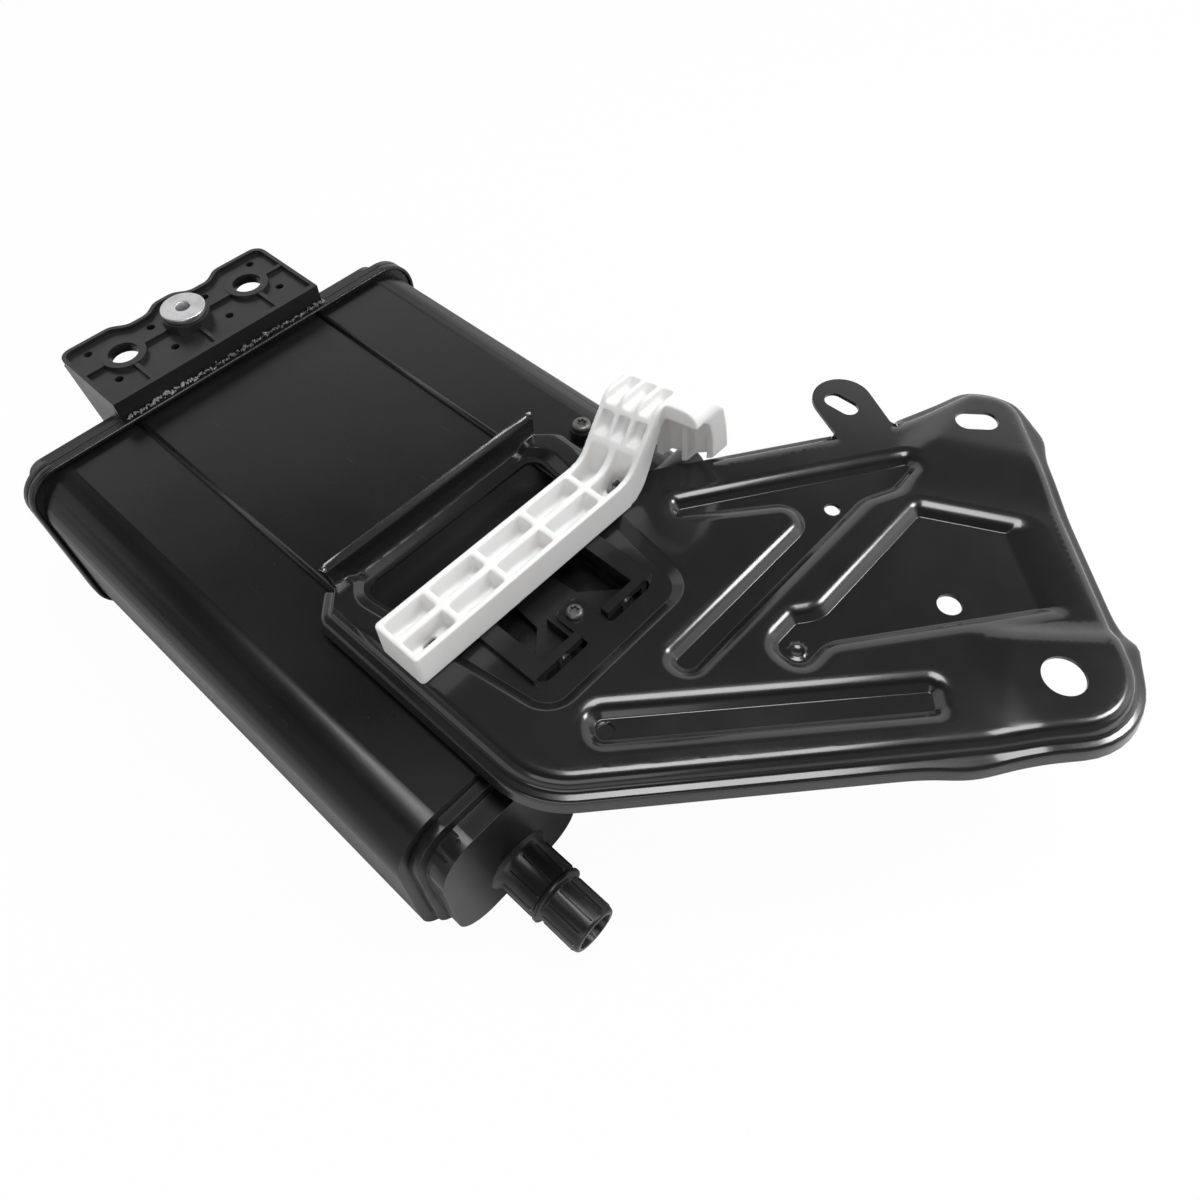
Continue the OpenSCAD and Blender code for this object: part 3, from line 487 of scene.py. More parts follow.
def splits_of(corners, longest):
    """Number of stretches along each straight edge, none longer than the given length."""
    count = len(corners)
    arcs = [corner_arc(corners[k - 1], corners[k], corners[(k + 1) % count], 1) for k in range(count)]
    lengths = [(arcs[(k + 1) % count][0] - arcs[k][-1]).length for k in range(count)]
    return [max(1, math.ceil(length / longest)) for length in lengths]


def circle(centre, radius, steps=40):
    """Points around a circle."""
    spin = [2 * math.pi * i / steps for i in range(steps)]
    return [Vector((centre[0] + radius * math.cos(a), centre[1] + radius * math.sin(a))) for a in spin]


def slot(centre, length, width, turn, steps=16):
    """Slot with round ends, turned about its centre."""
    r = width / 2
    half = length / 2 - r
    points = []
    for end in (0, 1):
        for i in range(steps + 1):
            a = math.pi * (i / steps - 0.5 + end)
            points.append(Vector(((half if end == 0 else -half) + r * math.cos(a), r * math.sin(a))))
    spin = Matrix.Rotation(math.radians(turn), 2)
    return [Vector(centre) + spin @ p for p in points]


def wall_profile(depth, run, top_r, foot_r, ring):
    """Steps in from a shoulder's flat to the floor's flat, as way in and height."""
    lean = math.atan2(depth, run)
    top = top_r * math.tan(lean / 2)
    foot = foot_r * math.tan(lean / 2)
    steps = [(-top - ring, 0.0)]
    for i in range(TOP_STEPS + 1):
        a = lean * i / TOP_STEPS
        steps.append((-top + top_r * math.sin(a), -top_r * (1 - math.cos(a))))
    for i in range(FOOT_STEPS + 1):
        a = lean * (1 - i / FOOT_STEPS)
        steps.append((run + foot - foot_r * math.sin(a), -depth + foot_r * (1 - math.cos(a))))
    return steps + [(run + foot + FOOT_RING, -depth)]


def inside(points, loop):
    """Which of the points lie inside a closed loop."""
    a = np.asarray(loop)
    b = np.roll(a, -1, axis=0)
    x, y = points[:, :1], points[:, 1:]
    rise = np.where(b[:, 1] == a[:, 1], 1.0, b[:, 1] - a[:, 1])
    at = a[:, 0] + (b[:, 0] - a[:, 0]) * (y - a[:, 1]) / rise
    crossed = ((a[:, 1] > y) != (b[:, 1] > y)) & (x < at)
    return crossed.sum(axis=1) % 2 == 1


def bridge(bm, low, high):
    """Faces between two closed rows with the same number of points."""
    for i in range(len(low)):
        j = (i + 1) % len(low)
        bm.faces.new((low[i], low[j], high[j], high[i]))


def placed(bm, name):
    """Object in the scene from a finished bmesh."""
    mesh = bpy.data.meshes.new(name)
    bm.to_mesh(mesh)
    bm.free()
    obj = bpy.data.objects.new(name, mesh)
    bpy.context.collection.objects.link(obj)
    return obj


class Sheet:
    """Upper face of a pressed sheet, built from rows of points in millimetres."""

    def __init__(self, base_z):
        self.bm = bmesh.new()
        self.base_z = base_z

    def row(self, points, z):
        """Row of points at one height over the base, or at a list of heights."""
        heights = z if isinstance(z, list) else [z] * len(points)
        return [self.bm.verts.new((p.x, p.y, self.base_z + h)) for p, h in zip(points, heights)]

    def join(self, low, high, keep):
        """Faces between two closed rows, only where keep says so."""
        for i in range(len(low)):
            j = (i + 1) % len(low)
            if keep[i]:
                self.bm.faces.new((low[i], low[j], high[j], high[i]))

    def fill(self, z, outer, *holes):
        """Fills a flat between its rows with triangles on a grid of points."""
        rows = [outer, *holes]
        loops = [np.array([v.co.xy for v in row]) for row in rows]
        low, high = loops[0].min(axis=0), loops[0].max(axis=0)
        across = np.arange(low[0], high[0], FILL_STEP)
        along = np.arange(low[1], high[1], FILL_STEP)
        spots = np.array([(x, y) for x in across for y in along])
        free = inside(spots, loops[0])
        for loop in loops[1:]:
            free &= ~inside(spots, loop)
        spots = spots[free]
        border = np.concatenate(loops)
        near = np.array([np.hypot(*(border - s).T).min() for s in spots]) if len(spots) else np.zeros(0)
        spots = spots[near > FILL_STEP * FILL_FREE]
        verts = [v for row in rows for v in row]
        owner = [k for k, row in enumerate(rows) for _ in row] + [-1] * len(spots)
        verts += self.row([Vector(s) for s in spots], z)
        edges = []
        first = 0
        for row in rows:
            edges += [(first + i, first + (i + 1) % len(row)) for i in range(len(row))]
            first += len(row)
        result = delaunay_2d_cdt([v.co.xy for v in verts], edges, [], 0, SAME_POINT)
        crossings = [p for p, ids in zip(result[0], result[3]) if not ids]
        if crossings:
            raise ValueError(f"outlines cross near {crossings}")
        source = [ids[0] for ids in result[3]]
        for face in result[2]:
            ids = [source[i] for i in face]
            owners = {owner[i] for i in ids}
            if len(owners) == 1 and -1 not in owners:
                k = owners.pop()
                middle = np.mean([verts[i].co.xy for i in ids], axis=0)
                if inside(middle[None, :], loops[k])[0] != (k == 0):
                    continue
            self.bm.faces.new([verts[i] for i in ids])

    def press(self, corners, wall, *holes, runs=None, ring=FLAT_RING):
        """Presses an area down with a rounded wall and returns its outer row."""
        depth, run, top_r, foot_r = wall
        splits = splits_of(corners, FILL_STEP)
        rows = []
        for way, z in wall_profile(depth, run, top_r, foot_r, ring):
            push = [-way * share for share in runs] if runs else -way
            rows.append(self.row(outline(shifted(corners, push), splits), z))
        for a, b in zip(rows, rows[1:]):
            bridge(self.bm, a, b)
        cuts = [self.row(h, -depth) if isinstance(h[0], Vector) else h for h in holes]
        self.fill(-depth, rows[-1], *cuts)
        return rows[0]

    def ring(self, centre, radii, base, rise):
        """Raised ring on a floor at base; returns its outer row."""
        levels = (0, rise, rise, rise * EMBOSS_DISH)
        rows = [self.row(circle(centre, r), base + h) for r, h in zip(radii, levels)]
        for a, b in zip(rows, rows[1:]):
            bridge(self.bm, a, b)
        self.fill(base + levels[-1], rows[-1])
        return rows[0]


def lift(x, y):
    """Height of the raised corners at a place on the plate."""
    total = 0.0
    for height, lines in RAISED:
        share = 1.0
        for (px, py), up, width in lines:
            a = math.radians(up)
            share *= smooth(((x - px) * math.cos(a) + (y - py) * math.sin(a)) / width)
        total += height * share
    return total


def sink(p):
    """Drop of the strip beside the flange to the level of the recess; the flange's edge keeps its height."""
    if p.x > STRIP_X:
        return 0.0
    if p.z > PLATE_Z:
        drop = RECESS[0] * (1 - (p.z - PLATE_Z) / FLANGE[-1][1])
    else:
        drop = p.z - PLATE_Z + RECESS[0]
    return max(drop, 0.0) * smooth((STRIP_END - abs(p.y)) / STRIP_FADE)


def edge_kinds(fold):
    """What stands on each stretch of the plate's edge: flange, flat tab, open at the pipe, or rim."""
    kinds = []
    for i, p in enumerate(fold):
        mid = (p + fold[(i + 1) % len(fold)]) / 2
        if mid.x < FLANGE_REACH:
            kinds.append("flange")
        elif TAB_X[0] < mid.x < TAB_X[1] and TAB_Y[0] < mid.y < TAB_Y[1]:
            kinds.append("tab")
        elif OPEN_X[0] < mid.x < OPEN_X[1] and mid.y > OPEN_Y:
            kinds.append("open")
        else:
            kinds.append("rim")
    return kinds


def rim_rows(sheet, fold, ways):
    """Rows of the rim, with a tight fold beside the flange and lobes along the skirt."""
    ease_in = [FOLD_LEAST + (1 - FOLD_LEAST) * smooth((p.x - FOLD_START) / FOLD_RUN) for p in fold]
    gaps = [min((p - Vector(end)).length for end in RIM_ENDS) for p in fold]
    fade = [RIM_LEFT + (1 - RIM_LEFT) * smooth(gap / RIM_FADE) for gap in gaps]
    rows = []
    for k, (way, z) in enumerate(RIM):
        points = []
        heights = []
        for p, n, soft, left in zip(fold, ways, ease_in, fade):
            scale = soft if way < 0 else left
            out = way * scale
            if k >= SHELF_ROW:
                reach = (k - SHELF_ROW + 1) / (len(RIM) - SHELF_ROW)
                for place, far, half in LOBES:
                    gap = (p + n * LOBE_OUT - Vector(place)).length
                    out += far * math.exp(-((gap / half) ** 2)) * smooth(reach * LOBE_GROWTH)
            points.append(p + n * out)
            heights.append(z * scale)
        rows.append(sheet.row(points, heights))
    return rows


def build_bracket():
    """Pressed sheet with its rim, flange, beads, panel, recess, holes and raised corners."""
    sheet = Sheet(PLATE_Z)
    splits = splits_of(PLATE, RIM_STEP)
    fold = outline(PLATE, splits)
    ways = [q - p for p, q in zip(fold, outline(shifted(PLATE, 1.0), splits))]
    kinds = edge_kinds(fold)
    rows = rim_rows(sheet, fold, ways)
    for a, b in zip(rows, rows[1:]):
        sheet.join(a, b, [k == "rim" for k in kinds])
    upright = rows[0]
    for way, z in FLANGE:
        row = sheet.row([p + n * way for p, n in zip(fold, ways)], z)
        sheet.join(upright, row, [k == "flange" for k in kinds])
        upright = row
    sheet.join(rows[0], sheet.row(fold, 0.0), [k in ("tab", "open") for k in kinds])
    emboss = sheet.ring(EMBOSS_PLACE, EMBOSS_RADII, -BEAD[0], EMBOSS_RISE)
    window_cuts = (outline(LONG_WINDOW), outline(TONGUE_WINDOW), circle(*HOLE_SCREW))
    areas = [
        sheet.press(shifted(BEAD_HOOK, -DRAWN_IN), BEAD, circle(*HOLE_SMALL)),
        sheet.press(shifted(BEAD_LONG, -DRAWN_IN), BEAD, circle(*HOLE_BEAD)),
        sheet.press(shifted(PANEL, -DRAWN_IN), BEAD, circle(*HOLE_MID), emboss, runs=PANEL_RUNS),
        sheet.press(WINDOW, RECESS, *window_cuts, runs=WINDOW_RUNS, ring=WINDOW_RING),
    ]
    holes = [circle(*HOLE_LARGE), slot(*SLOT_TIP), slot(*SLOT_TAB)]
    sheet.fill(0.0, rows[0], *areas, *[sheet.row(h, 0.0) for h in holes])
    bm = sheet.bm
    bmesh.ops.delete(bm, geom=[v for v in bm.verts if not v.link_faces], context="VERTS")
    for v in bm.verts:
        v.co.z += lift(v.co.x, v.co.y) - sink(v.co)
    bmesh.ops.scale(bm, vec=(MM, MM, MM), verts=bm.verts)
    bmesh.ops.recalc_face_normals(bm, faces=bm.faces)
    if sum(f.normal.z * f.calc_area() for f in bm.faces) < 0:
        bmesh.ops.reverse_faces(bm, faces=bm.faces)
    for f in bm.faces:
        f.smooth = True
    obj = placed(bm, "bracket_sheet")
    thick = obj.modifiers.new("sheet", "SOLIDIFY")
    thick.thickness = SHEET * MM
    thick.offset = -1.0
    round_edges(obj, SHEET_EDGE * MM, SHEET_SHARP)
    obj.modifiers.new("shading", "WEIGHTED_NORMAL")
    obj.data.materials.append(COAT)
    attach(obj, "root")
    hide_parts("mounting_bracket")


build_bracket()


# Guard: the white ribbed bar with its ramp and hook, cut from solids and rounded as a moulding

GUARD_X = (65.3, 87.7)
GUARD_START = -59.5
GUARD_FOOT = 45.0
GUARD_Z = 104.2
GUARD_TOP = 120.5
GUARD_PEAK = 146.8
CELL_FLOOR = 110.0
SKEW = math.tan(math.radians(13))
HOOK_W = 35.7
GUARD_WALL = 2.2
GUARD_RIB = 2.8
GUARD_RIBS = [-37.5, -14.0, 11.0, 36.0]
# How far the cross ribs stay inside the sides and above the bottom
RIB_INSET = 0.5
RIB_LIFT = 1.0
# Radius and steps of the bar's near corners, its sharp far corners and how far it runs into the ramp
GUARD_END_R = 1.4
GUARD_END_STEPS = 4
GUARD_SHARP_R = 0.1
GUARD_INTO = 1.5
# Length before the ramp's foot at which the bar's cells end
CELL_END = 6.0
POCKET_ROWS = 3
POCKET_RIB = 1.9
FLUTE_RIB = 3.0
HOOK_CORNER = 7.0
HOOK_STEPS = 6
# Slanted lower end of the hook above the bracket's edge: x and height
HOOK_FOOT = [(84, 100), (104, 100), (104, 117), (84, 102.6)]
# Ways from the ramp's foot at which that cut starts and at which cuts through the hook end
HOOK_FROM = 20.0
HOOK_PAST = 80.0
# How far cutting solids stand out of what they cut
OVER = 1.0
CLEAR = 2.0
# Rounding of the moulding: size of the voxels, share and rounds of smoothing
VOXEL = 0.6 * MM
RELAX_SHARE = 0.5
RELAX_ROUNDS = 3
# Catches of the bracket: place and height of their tips
CATCHES = [((81.0, -47.6), 112.6), ((80.6, 49.6), 115.0)]
CATCH_SLOT = (5.2, 6.0)
CATCH_HALF = 1.6
CATCH_ROOT = PLATE_Z - 1
# Side of a catch: half its thickness, then its nose as way across and height from the tip
CATCH_T = 0.75
CATCH_NOSE = [(CATCH_T, -2.6), (2.0, -2.2), (2.1, -1.5), (0.9, -0.3), (0.1, 0.0), (-CATCH_T, -0.4)]
CATCH_EDGE = 0.35
CATCH_SHARP = math.radians(30)

# Profiles along the guard: way from the ramp's foot and height
RAMP = [
    (-6, GUARD_Z + 1), (1, GUARD_Z + 1), (4, GUARD_Z + 1.4), (8.7, GUARD_Z + 6.3), (11.8, GUARD_Z + 13.6),
    (15.4, GUARD_TOP + 8.5), (17.8, GUARD_PEAK - 11), (20.2, GUARD_PEAK - 8.0), (24, GUARD_PEAK - 6.8),
    (24, GUARD_PEAK), (18.6, GUARD_PEAK), (16.3, GUARD_PEAK - 0.6), (14.2, GUARD_PEAK - 2.2),
    (12, GUARD_PEAK - 6), (5.5, GUARD_TOP + 9.7), (3, GUARD_TOP + 5.2), (0.6, GUARD_TOP + 2.2),
    (-2, GUARD_TOP + 0.6), (-5, GUARD_TOP), (-6, GUARD_TOP),
]
HOOK_FAR = [
    (19, GUARD_PEAK), (27, GUARD_PEAK), (32, GUARD_PEAK - 2.2), (35.7, GUARD_PEAK - 8),
    (38.7, GUARD_PEAK - 16.9), (41.2, GUARD_Z + 14), (43.2, GUARD_Z), (32.8, GUARD_Z),
    (31.6, GUARD_Z + 12.2), (30.2, GUARD_PEAK - 20.3), (27, GUARD_PEAK - 10.5), (23.5, GUARD_PEAK - 7),
    (19, GUARD_PEAK - 7.4),
]
FOOT_CELL = [
    (-14, CELL_FLOOR), (3.2, CELL_FLOOR), (4.8, CELL_FLOOR + 1.6), (4.8, GUARD_TOP + 12),
    (-14, GUARD_TOP + 12),
]
SLOPE_POCKET = [
    (3, GUARD_TOP + 10.9), (12.6, GUARD_TOP + 10.9), (16.8, GUARD_PEAK - 6.6), (7, GUARD_PEAK - 6.6),
]
ROOF_POCKET = [
    (11, GUARD_PEAK - 3.6), (15.4, GUARD_PEAK - 4.6), (17.5, GUARD_PEAK - 5.2), (24.5, GUARD_PEAK - 4.2),
    (27, GUARD_PEAK - 1), (27.6, GUARD_PEAK + 2), (11, GUARD_PEAK + 3),
]
FLUTE = [
    (28, GUARD_PEAK - 19.5), (34.6, GUARD_PEAK - 19.5), (36.6, GUARD_Z + 14), (38.6, GUARD_Z - OVER),
    (28, GUARD_Z - OVER),
]


def loft(near, far):
    """Closed solid between two outlines with the same number of points, in millimetres."""
    bm = bmesh.new()
    ends = [[bm.verts.new(Vector(p) * MM) for p in points] for points in (near, far)]
    for end in ends:
        bm.faces.new(end)
    bridge(bm, *ends)
    bmesh.ops.recalc_face_normals(bm, faces=bm.faces)
    return placed(bm, "solid")


def askew(profile, x0, x1):
    """Solid along X whose profile slides with the guard's skew."""
    ends = [[(x, GUARD_FOOT + u + (x - GUARD_X[0]) * SKEW, z) for u, z in profile] for x in (x0, x1)]
    return loft(*ends)


def block(x, y, z):
    """Box between pairs of places."""
    corners = [(x[0], y[0]), (x[1], y[0]), (x[1], y[1]), (x[0], y[1])]
    return loft([(a, b, z[0]) for a, b in corners], [(a, b, z[1]) for a, b in corners])


def through_hook(shape, start):
    """Solid along Y from start past the hook, its shape given as x and height."""
    return loft([(x, start, z) for x, z in shape], [(x, GUARD_FOOT + HOOK_PAST, z) for x, z in shape])


def carved(steps):
    """One mesh object from solids that are joined and cut in the order given."""
    base = steps[0][1][0]
    tools = [(kind, tool) for kind, group in steps for tool in group if tool is not base]
    for kind, tool in tools:
        cut = base.modifiers.new("carve", "BOOLEAN")
        cut.operation = kind
        cut.object = tool
        cut.solver = "EXACT"
    shape = bpy.data.meshes.new_from_object(base.evaluated_get(bpy.context.evaluated_depsgraph_get()))
    base.modifiers.clear()
    base.data = shape
    for _, tool in tools:
        bpy.data.objects.remove(tool)
    return base


def columns(start, end, count, rib):
    """Spans of equal openings between ribs, with a rib at both ends."""
    width = (end - start - rib * (count + 1)) / count
    return [(start + rib + k * (width + rib), start + (k + 1) * (width + rib)) for k in range(count)]


def guard_bar():
    """Outline of the flat bar, with round corners at its near end."""
    x0, x1 = GUARD_X
    far = GUARD_FOOT + GUARD_INTO
    corners = [(x0, GUARD_START, GUARD_END_R), (x1, GUARD_START, GUARD_END_R)]
    corners += [(x1, far + (x1 - x0) * SKEW, GUARD_SHARP_R), (x0, far, GUARD_SHARP_R)]
    points = outline(corners, steps=GUARD_END_STEPS)
    return loft([(p.x, p.y, GUARD_Z) for p in points], [(p.x, p.y, GUARD_TOP) for p in points])


def build_guard():
    """White guard: bar, ramp and hook with their cells, pockets, flutes, cross ribs and catch slots."""
    x0, x1 = GUARD_X
    end = x0 + HOOK_W
    middle = (x0 + x1) / 2
    half = GUARD_RIB / 2
    solids = [guard_bar(), askew(RAMP, x0, x1), askew(HOOK_FAR, x0, end)]
    cell_y = (GUARD_START + GUARD_WALL, GUARD_FOOT - CELL_END)
    cuts = []
    for a, b in ((x0 + GUARD_WALL, middle - half), (middle + half, x1 - GUARD_WALL)):
        cuts.append(block((a, b), cell_y, (CELL_FLOOR, GUARD_TOP + OVER)))
        cuts.append(askew(FOOT_CELL, a, b))
    for a, b in columns(x0, x1, POCKET_ROWS, POCKET_RIB):
        cuts.append(askew(SLOPE_POCKET, a, b))
        cuts.append(askew(ROOF_POCKET, a, b))
    for a, b in columns(x0, end, POCKET_ROWS, FLUTE_RIB):
        cuts.append(askew(FLUTE, a, b))
    turns = [math.pi / 2 * k / HOOK_STEPS for k in range(HOOK_STEPS + 1)]
    arc = [(HOOK_CORNER * (math.sin(t) - 1), HOOK_CORNER * (math.cos(t) - 1)) for t in turns]
    corner = [(end + CLEAR, GUARD_PEAK + CLEAR)] + [(end + dx, GUARD_PEAK + dz) for dx, dz in arc]
    cuts.append(through_hook(corner, GUARD_FOOT))
    cuts.append(through_hook(HOOK_FOOT, GUARD_FOOT + HOOK_FROM))
    rib_x = (x0 + RIB_INSET, x1 - RIB_INSET)
    ribs = [block(rib_x, (y - half, y + half), (GUARD_Z + RIB_LIFT, GUARD_TOP)) for y in GUARD_RIBS]
    w, l = CATCH_SLOT
    slot_z = (GUARD_Z - OVER, CELL_FLOOR + CLEAR)
    slots = [block((x - w / 2, x + w / 2), (y - l / 2, y + l / 2), slot_z) for (x, y), _ in CATCHES]
    guard = carved([("UNION", solids), ("DIFFERENCE", cuts), ("UNION", ribs), ("DIFFERENCE", slots)])
    guard.name = "ribbed_guard"
    skin = guard.modifiers.new("skin", "REMESH")
    skin.mode = "VOXEL"
    skin.voxel_size = VOXEL
    skin.use_smooth_shade = True
    relax = guard.modifiers.new("relax", "SMOOTH")
    relax.factor = RELAX_SHARE
    relax.iterations = RELAX_ROUNDS
    guard.data.materials.clear()
    guard.data.materials.append(WHITE)
    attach(guard, "root")
    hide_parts("hose_guard")


def build_catches():
    """Uprights of the bracket that hold the guard, each with a rounded nose."""
    for k, ((x, y), tip) in enumerate(CATCHES):
        profile = [(-CATCH_T, CATCH_ROOT), (CATCH_T, CATCH_ROOT)] + [(u, tip + z) for u, z in CATCH_NOSE]
        sides = (y - CATCH_HALF, y + CATCH_HALF)
        post = loft(*[[(x + u, side, z) for u, z in profile] for side in sides])
        post.name = f"guard_catch_{k}"
        round_edges(post, CATCH_EDGE * MM, CATCH_SHARP)
        post.data.materials.append(COAT)
        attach(post, "root")


build_guard()
build_catches()


# Fine forms on the mouldings

RIDGE_Y = 51.0
RIDGE_ENDS = (-119.8, 110.0)
RIDGE_SHAPE = [(-1.7, 89.5), (-1.5, 90.6), (-0.95, 91.5), (0, 91.85), (0.95, 91.5), (1.5, 90.6), (1.7, 89.5)]
LIP_X = -119.6
LIP_SIZE = (216.8, 91.2)
LIP_BOTTOM = 1.1
LIP_R = 16.0
LIP_BEAD_R = 1.05
LIP_SIDES = 8
# Crumbs of flash: where they lie, then the spread of their gaps, size, rise, stretch and raggedness
FLASH_Y = (-55.0, 57.0)
FLASH_X = (-123.2, -120.4)
FLASH_Z = 93.2
FLASH_STEP = 0.75
CRUMB_GAP = (0.4, 1.6)
CRUMB_SIZE = (0.25, 0.8)
CRUMB_RISE = (0.0, 0.9)
CRUMB_STRETCH = [(0.7, 1.4), (0.7, 2.2), (0.6, 1.3)]
CRUMB_RAG = 0.25
PORT_PLACE = (-66.5, 28.0)
PORT_RIBS = 10
# Ribs of the port: span along it, radius of the wall and height
PORT_RUNS = [((136.6, 152.4), 11.9, 0.55), ((156.2, 173.2), 10.4, 0.5)]
# Half widths of a rib at its foot and crest, depth of its root and length of its sloped ends
RIB_FOOT = 0.5
RIB_CREST = 0.22
RIB_SUNK = 0.4
RIB_END = 1.0
# Shoulder of the port's box: middle and radius of its rounding, then the ribs and the dot on it
SHOULDER = (-82.0, 63.0)
SHOULDER_R = 17.0
SHOULDER_RIBS = [(98.5, (124.3, 128.2)), (130.0, (124.3, 131.4))]
SHOULDER_RISE = 0.7
SHOULDER_DOT = (129.3, 102.0, 0.8)
# Screws: place, height of the head's top, radius of the head and of the six-lobed recess
SCREWS = [((37.0, 76.0), 99.4, 4.2, 2.4), ((104.5, 0.0), 103.4, 3.4, 2.0)]
SHANK_R = 1.95
SHANK_DEEP = 9.2
HEAD_H = 2.4
RECESS_DEEP = 1.4
# Cut lower edge of a head, then its crown as shares of its radius and heights over its seat
HEAD_EDGE = 0.25
HEAD_CROWN = [(1.0, 1.1), (0.96, 1.6), (0.86, 2.1), (0.72, HEAD_H)]
# Lobes of the recess and their depth as a share of its radius
STAR_LOBES = 6
STAR_DEPTH = 0.16
SCREW_EDGE = 0.12
SCREW_SHARP = math.radians(40)


def dress(obj, name, paint, soft=True):
    """Names an added form, gives it its finish and lets it ride on the root."""
    obj.name = name
    obj.data.materials.clear()
    obj.data.materials.append(paint)
    if soft:
        obj.data.shade_smooth()
    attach(obj, "root")


def mesh_object(bm):
    """Object from a bmesh in millimetres."""
    bmesh.ops.scale(bm, vec=(MM, MM, MM), verts=bm.verts)
    bmesh.ops.recalc_face_normals(bm, faces=bm.faces)
    return placed(bm, "form")


def witness_ridges():
    """Two rounded ridges along the top of the body."""
    for k, y in enumerate((-RIDGE_Y, RIDGE_Y)):
        ends = [[(x, y + a, z) for a, z in RIDGE_SHAPE] for x in RIDGE_ENDS]
        dress(loft(*ends), f"witness_ridge_{k}", BODY)


def lip_bead():
    """Round bead along the inner edge of the weld lip."""
    half = LIP_SIZE[0] / 2
    top = LIP_BOTTOM + LIP_SIZE[1]
    corners = [(-half, LIP_BOTTOM), (half, LIP_BOTTOM), (half, top), (-half, top)]
    path = outline([(*corner, LIP_R) for corner in corners])
    bm = bmesh.new()
    rings = []
    for i, p in enumerate(path):
        along = (path[(i + 1) % len(path)] - path[i - 1]).normalized()
        out = Vector((along.y, -along.x))
        ring = []
        for k in range(LIP_SIDES):
            a = 2 * math.pi * k / LIP_SIDES
            q = p + out * LIP_BEAD_R * math.cos(a)
            ring.append(bm.verts.new((LIP_X + LIP_BEAD_R * math.sin(a), q.x, q.y)))
        rings.append(ring)
    for a, b in zip(rings, rings[1:] + rings[:1]):
        bridge(bm, a, b)
    dress(mesh_object(bm), "lip_bead", BODY)


def weld_flash():
    """Ragged crumbs of weld flash along the joint under the ledge, coloured pale grey as a painted
    highlight.
    """
    bm = bmesh.new()
    y = FLASH_Y[0]
    while y < FLASH_Y[1]:
        y += FLASH_STEP * rng.uniform(*CRUMB_GAP)
        size = rng.uniform(*CRUMB_SIZE)
        centre = Vector((rng.triangular(*FLASH_X), y, FLASH_Z + rng.uniform(*CRUMB_RISE)))
        stretch = Matrix.Diagonal((*[rng.uniform(*span) for span in CRUMB_STRETCH], 1))
        turn = Matrix.Rotation(rng.uniform(0, math.pi), 4, (rng.random(), rng.random(), 1))
        place = Matrix.Translation(centre) @ turn @ stretch
        crumb = bmesh.ops.create_icosphere(bm, subdivisions=1, radius=size, matrix=place)
        for v in crumb["verts"]:
            v.co += Vector([rng.uniform(-CRUMB_RAG, CRUMB_RAG) * size for _ in range(3)])
    dress(mesh_object(bm), "weld_flash", FLASH_PAINTED_HIGHLIGHT, soft=False)


def rib_along(bm, centre, radius, turn, span, height):
    """Thin rib along X on a round wall, with sloped ends."""
    out = Vector((0, math.cos(turn), math.sin(turn)))
    side = Vector((0, -math.sin(turn), math.cos(turn)))
    base = Vector((0, *centre)) + out * radius
    rows = []
    for x, up in ((span[0], 0.0), (span[0] + RIB_END, height), (span[1] - RIB_END, height), (span[1], 0.0)):
        shape = [(-RIB_FOOT, -RIB_SUNK), (-RIB_CREST, up), (RIB_CREST, up), (RIB_FOOT, -RIB_SUNK)]
        rows.append([bm.verts.new(Vector((x, 0, 0)) + base + side * s + out * h) for s, h in shape])
    for low, high in zip(rows, rows[1:]):
        bridge(bm, low, high)
    bm.faces.new(rows[0])
    bm.faces.new(rows[-1][::-1])


def port_ribs():
    """Thin ribs along the hose port, and two short ribs and a dot on the shoulder of its box."""
    bm = bmesh.new()
    for span, radius, height in PORT_RUNS:
        for k in range(PORT_RIBS):
            rib_along(bm, PORT_PLACE, radius, 2 * math.pi * (k + 0.5) / PORT_RIBS, span, height)
    for degrees, span in SHOULDER_RIBS:
        rib_along(bm, SHOULDER, SHOULDER_R, math.radians(degrees), span, SHOULDER_RISE)
    x, degrees, size = SHOULDER_DOT
    a = math.radians(degrees)
    centre = Vector((x, SHOULDER[0] + SHOULDER_R * math.cos(a), SHOULDER[1] + SHOULDER_R * math.sin(a)))
    bmesh.ops.create_icosphere(bm, subdivisions=2, radius=size, matrix=Matrix.Translation(centre))
    dress(mesh_object(bm), "port_ribs", CAP, soft=False)


def star(place, radius, steps=48):
    """Outline of a six-lobed recess."""
    points = []
    for i in range(steps):
        a = 2 * math.pi * i / steps
        r = radius * (1 - STAR_DEPTH + STAR_DEPTH * math.cos(STAR_LOBES * a))
        points.append((place[0] + r * math.cos(a), place[1] + r * math.sin(a)))
    return points


def turned(place, profile, steps=40):
    """Solid of revolution about an upright axis from radius and height."""
    bm = bmesh.new()
    rings = [[bm.verts.new((*p, z)) for p in circle(place, r, steps)] for r, z in profile]
    for a, b in zip(rings, rings[1:]):
        bridge(bm, a, b)
    bm.faces.new(rings[0])
    bm.faces.new(rings[-1])
    return mesh_object(bm)


def screws():
    """Pan heads with six-lobed recesses."""
    bodies = []
    wells = []
    for place, top, r, lobe in SCREWS:
        under = top - HEAD_H
        profile = [(SHANK_R, top - SHANK_DEEP), (SHANK_R, under)]
        profile += [(r - HEAD_EDGE, under), (r, under + HEAD_EDGE)]
        profile += [(r * share, under + rise) for share, rise in HEAD_CROWN]
        bodies.append(turned(place, profile))
        levels = (top - RECESS_DEEP, top + OVER)
        wells.append(loft(*[[(x, y, z) for x, y in star(place, lobe)] for z in levels]))
    both = carved([("UNION", bodies), ("DIFFERENCE", wells)])
    dress(both, "lobed_screws", SCREW, soft=False)
    round_edges(both, SCREW_EDGE * MM, SCREW_SHARP, segments=1)
    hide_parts("torx_screws")


screws()
witness_ridges()
lip_bead()
weld_flash()
port_ribs()


# Stage, light and camera

